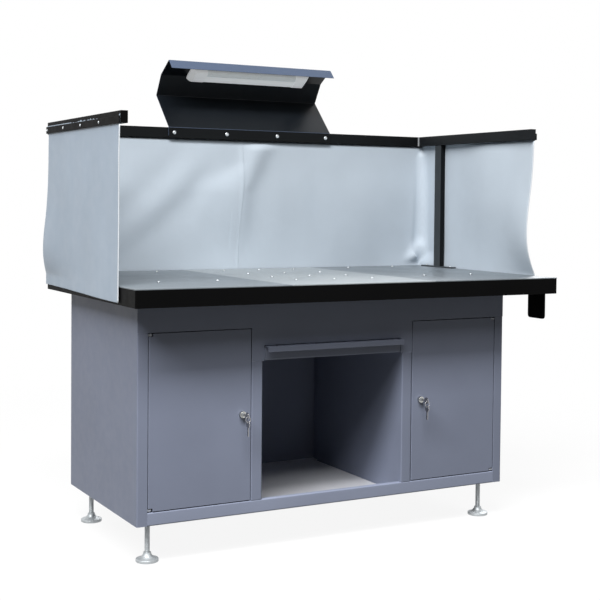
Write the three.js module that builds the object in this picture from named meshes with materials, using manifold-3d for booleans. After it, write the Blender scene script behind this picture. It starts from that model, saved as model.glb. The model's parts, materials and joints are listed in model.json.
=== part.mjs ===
// Workshop bench: a steel cabinet with two locked doors, a knee bay and a shallow drawer,
// a three-plate worktop, a cloth screen on three sides and a hooded lamp.
// Millimetres, +Z up. X runs along the bench, -Y is the side that the worker stands at.
// Pieces are laid out with y = 0 on the worktop's front edge and x = 0 at its middle,
// and the whole bench is then moved so that the origin is on the floor under its middle.

import * as THREE from 'three';
import { mergeVertices } from 'three/addons/utils/BufferGeometryUtils.js';
import Module from 'manifold-3d';

const wasm = await Module();
wasm.setup();

// Clearances
const FIT = 0.3;            // between pieces that seat on each other
const PIN_PLAY = 0.3;       // around a pin, a stem or a plug

// Worktop
const TOP_LONG = 1500;
const TOP_DEEP = 830;
const TOP_HIGH = 818;
const PLATE_THICK = 3;
const SIDE_PLATE = 493;     // length of the left and the right plate
const PLATE_SEAM = 0.6;
const PLATE_CORNER = 1;
const RIM_TALL = 51;
const RIM_GAUGE = 3;
const RIM_LEDGE = 30;       // width of the rim's top flange inside the skirt
const RIM_CORNER = 4;
const BEARER_WIDE = 40;
const BEARER_GAUGE = 3;
const HANGER_THICK = 5;
const HANGER_WIDE = 87;
const HANGER_FRONT = 55;
const HANGER_DROP = 91;     // below the rim
const HANGER_CORNER = 12;

// Cabinet
const CAB_LEFT_INSET = 50;  // cabinet from the worktop's edges
const CAB_RIGHT_INSET = 137;
const CAB_FRONT_INSET = 115;
const CAB_BACK_INSET = 101;
const CLEAR_UNDER = 118;
const SHEET = 2;
const BEND = 2;
const TIGHT_BEND = 1;       // in the drawer and its runners
const OUTER_STILE = 33;
const INNER_STILE = 37;
const DOOR_OPENING = 334;
const BOTTOM_RAIL = 39;
const BOTTOM_HEM = 14;
const APRON_TALL = 82;
const APRON_DROP = 184;     // from the cabinet's top to the top of the knee bay
const TOP_FLANGE = 25;
const BACK_FLANGE = 25;
const STILE_LIP = 22;
const BAY_JOG_DEEP = 50;
const BAY_JOG_OUT = 12;

// Doors, corner pivots
const DOOR_GAP = 2.5;
const DOOR_RETURN = 15;
const NOTCH_WIDE = 14;
const NOTCH_TALL = 9;
const PIVOT_IN = 7;         // axis from the door's edge and from its face
const EYE_RADIUS = 5.2;
const EYE_TALL = 6;
const EYE_LEAF = 24;
const PIN_RADIUS = 2.5;
const PIVOT_LEAF_LONG = 28;
const PIVOT_LEAF_THICK = 3;

// Locks and keys
const LOCK_INSET = 30;      // from the door's free edge
const LOCK_RISE = 4;        // over the door's middle
const LOCK_HEAD_RADIUS = 10;
const LOCK_HEAD_THICK = 11;
const BARREL_RADIUS = 8.5;
const LOCK_NUT_RADIUS = 13;
const LOCK_NUT_SIDES = 6;
const LOCK_NUT_THICK = 4;
const PLUG_RADIUS = 5.5;
const CAM_LONG = 44;
const CAM_WIDE = 14;
const CAM_THICK = 2;
const CAM_CORNER = 3.5;
const CAM_PLAY = 0.8;       // behind the stile's lip
const KEY_THICK = 2.2;
const BOW_RADIUS = 11;
const BOW_REACH = 39;       // bow's centre from the door's face
const BOW_HOLE_RADIUS = 3.2;
const BOW_HOLE_OUT = 5;
const SHANK_WIDE = 8;
const BLADE_LONG = 25;
const RING_RADIUS = 8;
const RING_WIRE = 1.1;

// Drawer
const NOTCH_MARGIN = 5.5;   // knee bay's side to the fascia's notch
const DRAWER_SIDE_GAP = 3;  // drawer front to the fascia's notch
const DRAWER_FRONT_TALL = 44;
const DRAWER_FOOT_GAP = 2;  // under and over the drawer front
const LIP_REACH = 22;
const LIP_DROP = 17;
const DRAWER_HEM = 10;
const DRAWER_GAUGE = 1.5;
const DRAWER_BOX_TALL = 36;
const DRAWER_BACK_ROOM = 107;       // box to the back panel
const DRAWER_BOX_INSET = 0.8;
const RUNNER_GAUGE = 2;
const RUNNER_LEDGE = 26;
const RUNNER_KEEPER = 14;
const KEEPER_PLAY = 1;

// Levelling feet
const FOOT_INSET = 54;
const STEM_RADIUS = 8;
const STEM_ABOVE = 45;      // stem inside the cabinet
const PAD_RADIUS = 34;
const PAD_EDGE = 9;
const PAD_TALL = 28;
const PAD_NECK = 11;
const PAD_CHAMFER = 1;
const PAD_FLARE = 4;        // height of the hollow in the pad's slope
const PAD_SOCKET = 18;      // depth of the stem's seat in the pad
const PAD_BOLT_RADIUS = 4;
const PAD_BOLT_OUT = 23;
const BOSS_RADIUS = 15;
const BOSS_TALL = 20;

// Screen frame
const SCREEN_TALL = 503;    // rail's top over the worktop
const RAIL_WIDE = 22;
const RAIL_TALL = 36;
const TUBE_WALL = 2;
const TUBE_CORNER = 1;
const RAIL_FRONT = 123;
const POST_WIDE = 20;
const POST_DEEP = 40;
const POST_BACK = 131;      // from the worktop's back edge
const POST_FOOT_LONG = 200;
const POST_FOOT_WIDE = 24;
const POST_FOOT_THICK = 4;
const BATTEN_THICK = 3;
const BATTEN_TALL = 22;
const BATTEN_BELOW = 1;     // batten under the rail's lower edge

// Cloth
const CLOTH_THICK = 1.5;
const CLOTH_HEM_UP = 7;     // hem over the rim's lower edge
const CLOTH_HEM_LIFT = 10;  // left hem, higher at the back corner than at the front
const CLOTH_PROUD = 3;      // raw top edge over the batten
const CLOTH_SETBACK = 2;    // front edge behind the rail's end
const CLOTH_SEAM = -37;     // where the two cloths lap on the back rail
const CLOTH_LAP = 40;
const LAP_NEAR = 1.5;       // in laps, where folds begin and are full
const LAP_FAR = 5;
const CLOTH_SLACK = 3;      // hem out from the rail
const BULGE = 12;
const BULGE_REACH = 170;
const BULGE_END = 0.93;     // ends are shares of the drop from the batten to the hem
const BULGE_POWER = 3.2;    // a higher power puts the fullest place lower
const FOLD = 5;             // slanting fold on the left cloth's back
const FOLD_SLOPE = 0.6;
const FOLD_FALL = 310;
const FOLD_START = 40;
const FOLD_WIDE = 55;
const FOLD_SPREAD = 1.4;
const RIPPLE = 2.5;         // on the right cloth's back
const RIPPLE_PITCH = 60;
const CURL = 30;            // right cloth's front edge
const CURL_REACH = 80;
const CURL_END = 0.9;
const CURL_POWER = 2.3;
const CORNER_TIGHT = 0.9;
const CORNER_SLACK = 34;
const CORNER_END = 0.88;
const CORNER_POWER = 1.2;

// Hood and lamp
const HOOD_LONG = 650;
const HOOD_GAUGE = 1.5;
const HOOD_FLANGE = 30;
const HOOD_LEAN = [118, 119];       // back and up
const HOOD_MIDDLE = [-45, 71];
const HOOD_ROOF = [-74, 45];
const HOOD_LIP = [-29, -31];
const CLAMP_BAR_THICK = 3;
const LAMP_LONG = 473;
const LAMP_WIDE = 66;
const LAMP_TALL = 40;
const LAMP_ROUND = 21;
const LAMP_BASE_TALL = 13;
const LAMP_CAP = 58;
const LAMP_CAP_PROUD = 1;   // caps over the diffuser
const LAMP_END_RISE = 17;   // height at which the ends reach furthest
const LAMP_END_UNDERCUT = 9;
const LAMP_END_SLOPE = 15;
const LAMP_END_ROUND = 5;

// Places worked out from the sizes above
const TOP_LEFT = -TOP_LONG / 2;
const TOP_RIGHT = TOP_LONG / 2;
const PLATE_END = TOP_RIGHT - SIDE_PLATE;    // seam beside the centre plate
const PLATE_UNDER = TOP_HIGH - PLATE_THICK;
const RIM_TOP = PLATE_UNDER - FIT;
const RIM_UNDER = PLATE_UNDER - RIM_TALL;
const CAB_LEFT = TOP_LEFT + CAB_LEFT_INSET;
const CAB_RIGHT = TOP_RIGHT - CAB_RIGHT_INSET;
const CAB_MID = (CAB_LEFT + CAB_RIGHT) / 2;
const CAB_FRONT = CAB_FRONT_INSET;
const CAB_BACK = TOP_DEEP - CAB_BACK_INSET;
const CAB_TOP = RIM_UNDER;
const SKIN_BACK = CAB_FRONT + SHEET;
const DOORWAY_LEFT = CAB_LEFT + OUTER_STILE;
const DOORWAY_RIGHT = DOORWAY_LEFT + DOOR_OPENING;
const DOORWAY_LOW = CLEAR_UNDER + BOTTOM_RAIL;
const DOORWAY_HIGH = CAB_TOP - APRON_TALL;
const BAY_LEFT = DOORWAY_RIGHT + INNER_STILE;
const BAY_RIGHT = 2 * CAB_MID - BAY_LEFT;
const BAY_HIGH = CAB_TOP - APRON_DROP;
const FLOOR_TOP = CLEAR_UNDER + SHEET;
const BACK_SHEET = CAB_BACK - SHEET - FIT;   // rear face of the back panel
const RAIL_TOP = TOP_HIGH + SCREEN_TALL;
const RAIL_UNDER = RAIL_TOP - RAIL_TALL;
const BATTEN_LOW = RAIL_UNDER - BATTEN_BELOW;
const BATTEN_HIGH = BATTEN_LOW + BATTEN_TALL;
const CLOTH_HIGH = BATTEN_HIGH + CLOTH_PROUD;
const CLOTH_LOW = RIM_UNDER + CLOTH_HEM_UP;
const HOOD_FACE = TOP_DEEP - RAIL_WIDE - FIT;
const HOOD_BACK = HOOD_FACE + HOOD_LEAN[0];

// Facets
const ROUND = 24;
const SMALL_ROUND = 16;
const WIRE_ROUND = 8;
const BEND_STEPS = 3;
const FLARE_STEPS = 5;
const LAMP_STEPS = 6;

// Materials
const finish = (color, roughness, metalness) => () =>
  new THREE.MeshStandardMaterial({ color, roughness, metalness });
const paint = finish(0x7d8296, 0.5, 0.1);
const black = finish(0x18191b, 0.5, 0.1);
const steel = finish(0x8a8f98, 0.45, 0.6);
const paleSteel = finish(0xaab0b8, 0.4, 0.6);
const zinc = finish(0xb4babd, 0.35, 0.9);
const chrome = finish(0xc4c4c0, 0.25, 1);
const cloth = finish(0xb6c0cf, 0.6, 0);
const hoodPaint = finish(0x63738c, 0.5, 0.1);
const whitePlastic = finish(0xe4e6e8, 0.4, 0);
const diffuser = finish(0xc9cfd2, 0.3, 0);

// Solids, joins and cuts
function closed(geometry) {
  const bare = geometry.clone();
  bare.deleteAttribute('normal');
  bare.deleteAttribute('uv');
  const merged = mergeVertices(bare, 1e-4);
  const index = merged.index.array;
  const kept = [];
  for (let i = 0; i < index.length; i += 3) {
    const [a, b, c] = [index[i], index[i + 1], index[i + 2]];
    if (a !== b && b !== c && c !== a) kept.push(a, b, c);
  }
  merged.setIndex(kept);
  return merged;
}

function solid(geometry) {
  const mesh = closed(geometry);
  const made = new wasm.Manifold(new wasm.Mesh({
    numProp: 3,
    vertProperties: new Float32Array(mesh.attributes.position.array),
    triVerts: new Uint32Array(mesh.index.array),
  }));
  return made;
}

function geometryOf(manifold) {
  const mesh = manifold.getMesh();
  const geometry = new THREE.BufferGeometry();
  geometry.setAttribute('position', new THREE.BufferAttribute(mesh.vertProperties.slice(), 3));
  geometry.setIndex(new THREE.BufferAttribute(mesh.triVerts.slice(), 1));
  return geometry;
}

function join(first, ...others) {
  return geometryOf(others.reduce((sum, next) => sum.add(solid(next)), solid(first)));
}

function cut(first, ...others) {
  return geometryOf(others.reduce((rest, next) => rest.subtract(solid(next)), solid(first)));
}

function common(first, second) {
  return geometryOf(solid(first).intersect(solid(second)));
}

function block([x0, x1], [y0, y1], [z0, z1]) {
  const geometry = new THREE.BoxGeometry(Math.abs(x1 - x0), Math.abs(y1 - y0), Math.abs(z1 - z0));
  return geometry.translate((x0 + x1) / 2, (y0 + y1) / 2, (z0 + z1) / 2);
}

// Extrusions of an outline along X (outline in y, z), along Y (in x, z) and along Z (in x, y)
const ALONG_X = new THREE.Matrix4().makeBasis(
  new THREE.Vector3(0, 1, 0), new THREE.Vector3(0, 0, 1), new THREE.Vector3(1, 0, 0));
const ALONG_Y = new THREE.Matrix4().makeBasis(
  new THREE.Vector3(1, 0, 0), new THREE.Vector3(0, 0, 1), new THREE.Vector3(0, -1, 0));

function extrude(shape, depth, curveSegments = BEND_STEPS) {
  return new THREE.ExtrudeGeometry(shape, { depth, curveSegments, bevelEnabled: false, steps: 1 });
}

function alongX(shape, [x0, x1], segments) {
  return extrude(shape, x1 - x0, segments).applyMatrix4(ALONG_X).translate(x0, 0, 0);
}

function alongY(shape, [y0, y1], segments) {
  return extrude(shape, y1 - y0, segments).applyMatrix4(ALONG_Y).translate(0, y1, 0);
}

function alongZ(shape, [z0, z1], segments) {
  return extrude(shape, z1 - z0, segments).translate(0, 0, z0);
}

// Closed outline through corner points, each with its own corner radius
function roundedOutline(corners) {
  const points = corners.map(([u, v]) => new THREE.Vector2(u, v));
  const shape = new THREE.Shape();
  points.forEach((corner, i) => {
    const radius = corners[i][2] ?? 0;
    const before = points[(i + points.length - 1) % points.length];
    const after = points[(i + 1) % points.length];
    const back = before.clone().sub(corner).normalize();
    const ahead = after.clone().sub(corner).normalize();
    const half = Math.acos(THREE.MathUtils.clamp(back.dot(ahead), -1, 1)) / 2;
    const reach = radius > 0 ? radius / Math.tan(half) : 0;
    const start = corner.clone().addScaledVector(back, reach);
    const end = corner.clone().addScaledVector(ahead, reach);
    if (i === 0) shape.moveTo(start.x, start.y);
    else shape.lineTo(start.x, start.y);
    if (reach > 0) shape.quadraticCurveTo(corner.x, corner.y, end.x, end.y);
  });
  shape.closePath();
  return shape;
}

function rectangle([u0, u1], [v0, v1], radius = 0) {
  return roundedOutline([[u0, v0, radius], [u1, v0, radius], [u1, v1, radius], [u0, v1, radius]]);
}

// Outline of a folded sheet: the points run along one face and the sheet lies to their left
function foldedSheet(points, gauge, bend = BEND) {
  const face = points.map(([u, v]) => new THREE.Vector2(u, v));
  const runs = face.slice(1).map((point, i) => point.clone().sub(face[i]).normalize());
  const lefts = runs.map((run) => new THREE.Vector2(-run.y, run.x));
  const faceCorners = [];
  const farCorners = [];
  face.forEach((point, i) => {
    const before = lefts[Math.max(i - 1, 0)];
    const after = lefts[Math.min(i, lefts.length - 1)];
    const mitre = before.clone().add(after).divideScalar(1 + before.dot(after));
    const far = point.clone().addScaledVector(mitre, gauge);
    const inside = i > 0 && i < face.length - 1;
    const turnsLeft = inside && runs[i - 1].cross(runs[i]) > 0;
    faceCorners.push([point.x, point.y, inside ? (turnsLeft ? bend + gauge : bend) : 0]);
    farCorners.unshift([far.x, far.y, inside ? (turnsLeft ? bend : bend + gauge) : 0]);
  });
  return roundedOutline([...faceCorners, ...farCorners]);
}

// Round piece standing on the point (x, y, z), from a profile of [radius, height] points
function turned(profile, x, y, z, segments = ROUND) {
  const points = profile.map(([radius, height]) => new THREE.Vector2(radius, height));
  const geometry = new THREE.LatheGeometry(points, segments).rotateX(Math.PI / 2);
  return geometry.translate(x, y, z);
}

function rod(radius, x, y, [z0, z1], segments = SMALL_ROUND) {
  const geometry = new THREE.CylinderGeometry(radius, radius, z1 - z0, segments).rotateX(Math.PI / 2);
  return geometry.translate(x, y, (z0 + z1) / 2);
}

// Rod along Y, from y0 to y1
function crossRod(radius, x, [y0, y1], z, segments = ROUND) {
  const geometry = new THREE.CylinderGeometry(radius, radius, y1 - y0, segments);
  return geometry.translate(x, (y0 + y1) / 2, z);
}

// Mirror image across the plane x = middle
function mirrored(geometry, middle) {
  const copy = closed(geometry);
  copy.applyMatrix4(new THREE.Matrix4().makeScale(-1, 1, 1)).translate(2 * middle, 0, 0);
  const index = copy.index.array;
  for (let i = 0; i < index.length; i += 3) [index[i], index[i + 1]] = [index[i + 1], index[i]];
  return copy;
}

const bench = new THREE.Group();
bench.position.y = -HOOD_BACK / 2;

function place(name, geometry, material, parent = bench) {
  const mesh = new THREE.Mesh(geometry, material());
  mesh.name = name;
  parent.add(mesh);
  return mesh;
}

function placePair(piece, geometry, material, middle) {
  place(`left_${piece}`, geometry, material);
  place(`right_${piece}`, mirrored(geometry, middle), material);
}

// Worktop: rim, bearers, plates and hanger
function worktopRim() {
  const skirt = rectangle([TOP_LEFT, TOP_RIGHT], [0, TOP_DEEP], RIM_CORNER);
  const inside = RIM_GAUGE;
  const ledge = RIM_GAUGE + RIM_LEDGE;
  return cut(
    alongZ(skirt, [RIM_UNDER, RIM_TOP]),
    block([TOP_LEFT + inside, TOP_RIGHT - inside], [inside, TOP_DEEP - inside],
      [RIM_UNDER - RIM_GAUGE, RIM_TOP - RIM_GAUGE]),
    block([TOP_LEFT + ledge, TOP_RIGHT - ledge], [ledge, TOP_DEEP - ledge],
      [RIM_UNDER, RIM_TOP + RIM_GAUGE]));
}

function bearer(x) {
  const half = BEARER_WIDE / 2;
  const low = CAB_TOP + FIT;
  const outline = foldedSheet(
    [[x + half, low], [x + half, RIM_TOP], [x - half, RIM_TOP], [x - half, low]], BEARER_GAUGE);
  const ledge = RIM_GAUGE + RIM_LEDGE + FIT;
  return alongY(outline, [ledge, TOP_DEEP - ledge]);
}

function plate([x0, x1]) {
  const outline = rectangle([x0, x1], [0, TOP_DEEP], PLATE_CORNER);
  return alongZ(outline, [PLATE_UNDER, TOP_HIGH]);
}

const plateGap = PLATE_SEAM / 2;
place('top_rim', worktopRim(), black);
placePair('top_bearer', bearer(-PLATE_END), steel, 0);
placePair('top_plate', plate([TOP_LEFT, -PLATE_END - plateGap]), steel, 0);
place('centre_top_plate', plate([plateGap - PLATE_END, PLATE_END - plateGap]), paleSteel);

function hangerPlate() {
  const face = TOP_RIGHT - RIM_GAUGE - FIT;
  const low = RIM_UNDER - HANGER_DROP;
  const high = RIM_TOP - RIM_GAUGE - FIT;
  const back = HANGER_FRONT + HANGER_WIDE;
  const outline = roundedOutline([
    [HANGER_FRONT, low, HANGER_CORNER], [back, low, HANGER_CORNER], [back, high], [HANGER_FRONT, high]]);
  return alongX(outline, [face - HANGER_THICK, face]);
}
place('side_hanger_plate', hangerPlate(), black);

// Cabinet shell
function sidePanel() {
  const outline = foldedSheet([
    [DOORWAY_LEFT, SKIN_BACK], [CAB_LEFT + SHEET, SKIN_BACK],
    [CAB_LEFT + SHEET, CAB_BACK - SHEET], [CAB_LEFT + BACK_FLANGE, CAB_BACK - SHEET]], SHEET);
  const wall = alongZ(outline, [CLEAR_UNDER, CAB_TOP]);
  const flange = block([CAB_LEFT + SHEET / 2, CAB_LEFT + TOP_FLANGE],
    [SKIN_BACK + TOP_FLANGE, BACK_SHEET - TOP_FLANGE - SHEET], [CAB_TOP - SHEET, CAB_TOP]);
  const fasciaRoom = block([CAB_LEFT - FIT, DOORWAY_LEFT + FIT], [CAB_FRONT - FIT, SKIN_BACK + FIT],
    [DOORWAY_HIGH - FIT, CAB_TOP + FIT]);
  const bend = block([CAB_LEFT + SHEET, DOORWAY_LEFT + FIT], [CAB_FRONT, SKIN_BACK + SHEET + BEND],
    [DOORWAY_HIGH - FIT, CAB_TOP + FIT]);
  return cut(join(wall, flange), fasciaRoom, bend);
}

function backPanel() {
  const x0 = CAB_LEFT + SHEET + BEND + FIT;
  const x1 = 2 * CAB_MID - x0;
  const sheet = block([x0, x1], [BACK_SHEET - SHEET, BACK_SHEET], [FLOOR_TOP + FIT, CAB_TOP]);
  const clear = TOP_FLANGE + SHEET;
  const flange = block([x0 + clear, x1 - clear], [BACK_SHEET - TOP_FLANGE, BACK_SHEET - SHEET / 2],
    [CAB_TOP - SHEET, CAB_TOP]);
  return join(sheet, flange);
}

const footPlaces = [
  ['front_left', CAB_LEFT + FOOT_INSET, CAB_FRONT + FOOT_INSET],
  ['front_right', CAB_RIGHT - FOOT_INSET, CAB_FRONT + FOOT_INSET],
  ['back_left', CAB_LEFT + FOOT_INSET, CAB_BACK - FOOT_INSET],
  ['back_right', CAB_RIGHT - FOOT_INSET, CAB_BACK - FOOT_INSET],
];

function basePan() {
  const inner = SHEET + BEND + FIT;
  const floor = block([CAB_LEFT + inner, CAB_RIGHT - inner],
    [SKIN_BACK + FIT, BACK_SHEET], [CLEAR_UNDER, FLOOR_TOP]);
  const rail = foldedSheet([
    [SKIN_BACK + BOTTOM_HEM, DOORWAY_LOW], [CAB_FRONT, DOORWAY_LOW],
    [CAB_FRONT, CLEAR_UNDER], [SKIN_BACK + BOTTOM_HEM, CLEAR_UNDER]], SHEET);
  const front = alongX(rail, [DOORWAY_LEFT + FIT, 2 * CAB_MID - DOORWAY_LEFT - FIT]);
  const bosses = footPlaces.map(([, x, y]) =>
    rod(BOSS_RADIUS, x, y, [CLEAR_UNDER, FLOOR_TOP + BOSS_TALL], ROUND));
  const threads = footPlaces.map(([, x, y]) =>
    rod(STEM_RADIUS + PIN_PLAY, x, y, [CLEAR_UNDER - SHEET, FLOOR_TOP + BOSS_TALL + SHEET], ROUND));
  return cut(join(floor, front, ...bosses), ...threads);
}

// Bay wall with its front edge folded into the inner stile and its rear edge stepped outward
function partition() {
  const rear = BACK_SHEET - SHEET - FIT;
  const outline = foldedSheet([
    [DOORWAY_RIGHT, CAB_FRONT + STILE_LIP], [DOORWAY_RIGHT, CAB_FRONT],
    [BAY_LEFT, CAB_FRONT], [BAY_LEFT, rear - BAY_JOG_DEEP],
    [BAY_LEFT - BAY_JOG_OUT, rear - BAY_JOG_DEEP], [BAY_LEFT - BAY_JOG_OUT, rear],
    [BAY_LEFT - BAY_JOG_OUT - BACK_FLANGE, rear]], SHEET);
  const wall = alongZ(outline, [FLOOR_TOP + FIT, CAB_TOP - SHEET - FIT]);
  const stileRoom = (low, high) => block(
    [DOORWAY_RIGHT - SHEET, BAY_LEFT - SHEET], [CAB_FRONT - FIT, CAB_FRONT + STILE_LIP + FIT], [low, high]);
  const skinRoom = (low, high) => block(
    [BAY_LEFT - SHEET - BEND, BAY_LEFT + FIT], [CAB_FRONT - FIT, SKIN_BACK + FIT], [low, high]);
  const hemRoom = block([BAY_LEFT - SHEET - BEND, BAY_LEFT + FIT],
    [CAB_FRONT - FIT, SKIN_BACK + BOTTOM_HEM + FIT], [CLEAR_UNDER, DOORWAY_LOW + FIT]);
  return cut(wall,
    stileRoom(CLEAR_UNDER, DOORWAY_LOW + FIT), hemRoom,
    stileRoom(BAY_HIGH - FIT, CAB_TOP), skinRoom(BAY_HIGH - FIT, CAB_TOP));
}

// Drawer places
const NOTCH_LEFT = BAY_LEFT + NOTCH_MARGIN;
const NOTCH_RIGHT = 2 * CAB_MID - NOTCH_LEFT;
const DRAWER_LOW = BAY_HIGH + DRAWER_FOOT_GAP;
const DRAWER_HIGH = DRAWER_LOW + DRAWER_FRONT_TALL;
const BOX_LEFT = NOTCH_LEFT + DRAWER_BOX_INSET;
const BOX_RIGHT = 2 * CAB_MID - BOX_LEFT;
const BOX_LOW = DRAWER_LOW + SHEET + FIT;
const BOX_HIGH = BOX_LOW + DRAWER_BOX_TALL;
const BOX_FRONT = SKIN_BACK + FIT;
const BOX_BACK = BACK_SHEET - SHEET - DRAWER_BACK_ROOM;

function fascia() {
  const right = 2 * CAB_MID - CAB_LEFT;
  const dropLeft = DOORWAY_RIGHT;
  const dropRight = 2 * CAB_MID - dropLeft;
  const notchHigh = DRAWER_HIGH + DRAWER_FOOT_GAP;
  const outline = roundedOutline([
    [CAB_LEFT, DOORWAY_HIGH], [dropLeft, DOORWAY_HIGH], [dropLeft, BAY_HIGH], [NOTCH_LEFT, BAY_HIGH],
    [NOTCH_LEFT, notchHigh], [NOTCH_RIGHT, notchHigh], [NOTCH_RIGHT, BAY_HIGH], [dropRight, BAY_HIGH],
    [dropRight, DOORWAY_HIGH], [right, DOORWAY_HIGH], [right, CAB_TOP], [CAB_LEFT, CAB_TOP]]);
  const skin = alongY(outline, [CAB_FRONT, SKIN_BACK]);
  const clear = SHEET + FIT;
  const flange = block([CAB_LEFT + clear, right - clear], [CAB_FRONT + SHEET / 2, CAB_FRONT + TOP_FLANGE],
    [CAB_TOP - SHEET, CAB_TOP]);
  return join(skin, flange);
}

placePair('side_panel', sidePanel(), paint, CAB_MID);
place('back_panel', backPanel(), paint);
place('base_pan', basePan(), paint);
placePair('partition', partition(), paint, CAB_MID);
place('fascia', fascia(), paint);

// Drawer
function drawerFront() {
  const lipInside = CAB_FRONT - LIP_REACH + SHEET;
  const outline = foldedSheet([
    [lipInside, DRAWER_HIGH - LIP_DROP], [lipInside, DRAWER_HIGH - SHEET], [CAB_FRONT, DRAWER_HIGH - SHEET],
    [CAB_FRONT, DRAWER_LOW], [CAB_FRONT + DRAWER_HEM, DRAWER_LOW]], SHEET, TIGHT_BEND);
  return alongX(outline, [NOTCH_LEFT + DRAWER_SIDE_GAP, NOTCH_RIGHT - DRAWER_SIDE_GAP]);
}

function drawerBox() {
  const wall = DRAWER_GAUGE;
  return cut(
    block([BOX_LEFT, BOX_RIGHT], [BOX_FRONT, BOX_BACK], [BOX_LOW, BOX_HIGH]),
    block([BOX_LEFT + wall, BOX_RIGHT - wall], [BOX_FRONT + wall, BOX_BACK - wall],
      [BOX_LOW + wall, BOX_HIGH + wall]));
}

function drawerRunner() {
  const web = BAY_LEFT + FIT;
  const ledge = BOX_LOW - FIT;
  const keeper = BOX_HIGH + KEEPER_PLAY;
  const outline = foldedSheet([
    [web + RUNNER_KEEPER, keeper + RUNNER_GAUGE], [web, keeper + RUNNER_GAUGE],
    [web, ledge - RUNNER_GAUGE], [web + RUNNER_LEDGE, ledge - RUNNER_GAUGE]], RUNNER_GAUGE, TIGHT_BEND);
  return alongY(outline, [SKIN_BACK + DRAWER_HEM + FIT, BOX_BACK + DRAWER_HEM]);
}

place('drawer_front', drawerFront(), paint);
place('drawer_box', drawerBox(), paint);
placePair('drawer_runner', drawerRunner(), zinc, CAB_MID);

// Doors, corner pivots and locks
const DOOR_LEFT = DOORWAY_LEFT + DOOR_GAP;
const DOOR_RIGHT = DOORWAY_RIGHT - DOOR_GAP;
const DOOR_LOW = DOORWAY_LOW + DOOR_GAP;
const DOOR_HIGH = DOORWAY_HIGH - DOOR_GAP;
const PIVOT_X = DOOR_LEFT + PIVOT_IN;
const PIVOT_Y = CAB_FRONT + PIVOT_IN;
const LOCK_X = DOOR_RIGHT - LOCK_INSET;
const LOCK_Z = (DOOR_LOW + DOOR_HIGH) / 2 + LOCK_RISE;
const LOCK_FACE = CAB_FRONT - FIT - LOCK_HEAD_THICK;

function doorPan() {
  const pan = cut(
    block([DOOR_LEFT, DOOR_RIGHT], [CAB_FRONT, CAB_FRONT + DOOR_RETURN], [DOOR_LOW, DOOR_HIGH]),
    block([DOOR_LEFT + SHEET, DOOR_RIGHT - SHEET], [SKIN_BACK, CAB_FRONT + DOOR_RETURN + SHEET],
      [DOOR_LOW + SHEET, DOOR_HIGH - SHEET]));
  const notch = (low, high) => block([DOOR_LEFT - FIT, DOOR_LEFT + NOTCH_WIDE],
    [CAB_FRONT - FIT, CAB_FRONT + DOOR_RETURN + FIT], [low, high]);
  return cut(pan,
    notch(DOOR_HIGH - NOTCH_TALL, DOOR_HIGH + FIT), notch(DOOR_LOW - FIT, DOOR_LOW + NOTCH_TALL),
    crossRod(BARREL_RADIUS + PIN_PLAY, LOCK_X, [CAB_FRONT - FIT, SKIN_BACK + FIT], LOCK_Z));
}

// Eye on the frame's stile, in the door's corner notch
function hingeEye(low) {
  const high = low + EYE_TALL;
  const leafBack = SKIN_BACK + FIT + SHEET;
  const leaf = block([DOORWAY_LEFT - EYE_LEAF, PIVOT_X], [SKIN_BACK + FIT, leafBack], [low, high]);
  const ring = rod(EYE_RADIUS, PIVOT_X, PIVOT_Y, [low, high], ROUND);
  const bore = rod(PIN_RADIUS + PIN_PLAY, PIVOT_X, PIVOT_Y, [low - FIT, high + FIT]);
  return cut(join(leaf, ring), bore);
}

// Pin on a leaf inside the door; towards is +1 for the upper corner and -1 for the lower one
function hingePivot(notchEdge, towards) {
  const seat = notchEdge - towards * FIT;
  const under = seat - towards * PIVOT_LEAF_THICK;
  const tip = notchEdge + towards * (NOTCH_TALL - FIT);
  const leafLow = Math.min(seat, under);
  const leafHigh = Math.max(seat, under);
  const leaf = block([DOOR_LEFT + SHEET + FIT, DOOR_LEFT + SHEET + PIVOT_LEAF_LONG],
    [SKIN_BACK + FIT, CAB_FRONT + DOOR_RETURN], [leafLow, leafHigh]);
  const pin = rod(PIN_RADIUS, PIVOT_X, PIVOT_Y, [Math.min(leafLow, tip), Math.max(leafHigh, tip)]);
  return join(leaf, pin);
}

const CAM_FRONT = CAB_FRONT + STILE_LIP + CAM_PLAY;

function lockBody() {
  const head = crossRod(LOCK_HEAD_RADIUS, LOCK_X, [LOCK_FACE, CAB_FRONT - FIT], LOCK_Z);
  const barrel = crossRod(BARREL_RADIUS, LOCK_X, [CAB_FRONT - FIT - SHEET, CAM_FRONT - FIT], LOCK_Z);
  const nutFront = SKIN_BACK + FIT;
  const nut = crossRod(LOCK_NUT_RADIUS, LOCK_X, [nutFront, nutFront + LOCK_NUT_THICK], LOCK_Z,
    LOCK_NUT_SIDES);
  const bore = crossRod(PLUG_RADIUS + PIN_PLAY, LOCK_X, [CAB_FRONT - BOW_REACH, CAM_FRONT + SHEET], LOCK_Z);
  return cut(join(head, barrel, nut), bore);
}

// Plug and cam, shown unlocked with the cam hanging down
function lockCam() {
  const plug = crossRod(PLUG_RADIUS, LOCK_X, [LOCK_FACE, CAM_FRONT + CAM_THICK], LOCK_Z);
  const half = CAM_WIDE / 2;
  const outline = roundedOutline([
    [LOCK_X - half, LOCK_Z - CAM_LONG, CAM_CORNER], [LOCK_X + half, LOCK_Z - CAM_LONG, CAM_CORNER],
    [LOCK_X + half, LOCK_Z + half, CAM_CORNER], [LOCK_X - half, LOCK_Z + half, CAM_CORNER]]);
  return join(plug, alongY(outline, [CAM_FRONT, CAM_FRONT + CAM_THICK]));
}

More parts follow.
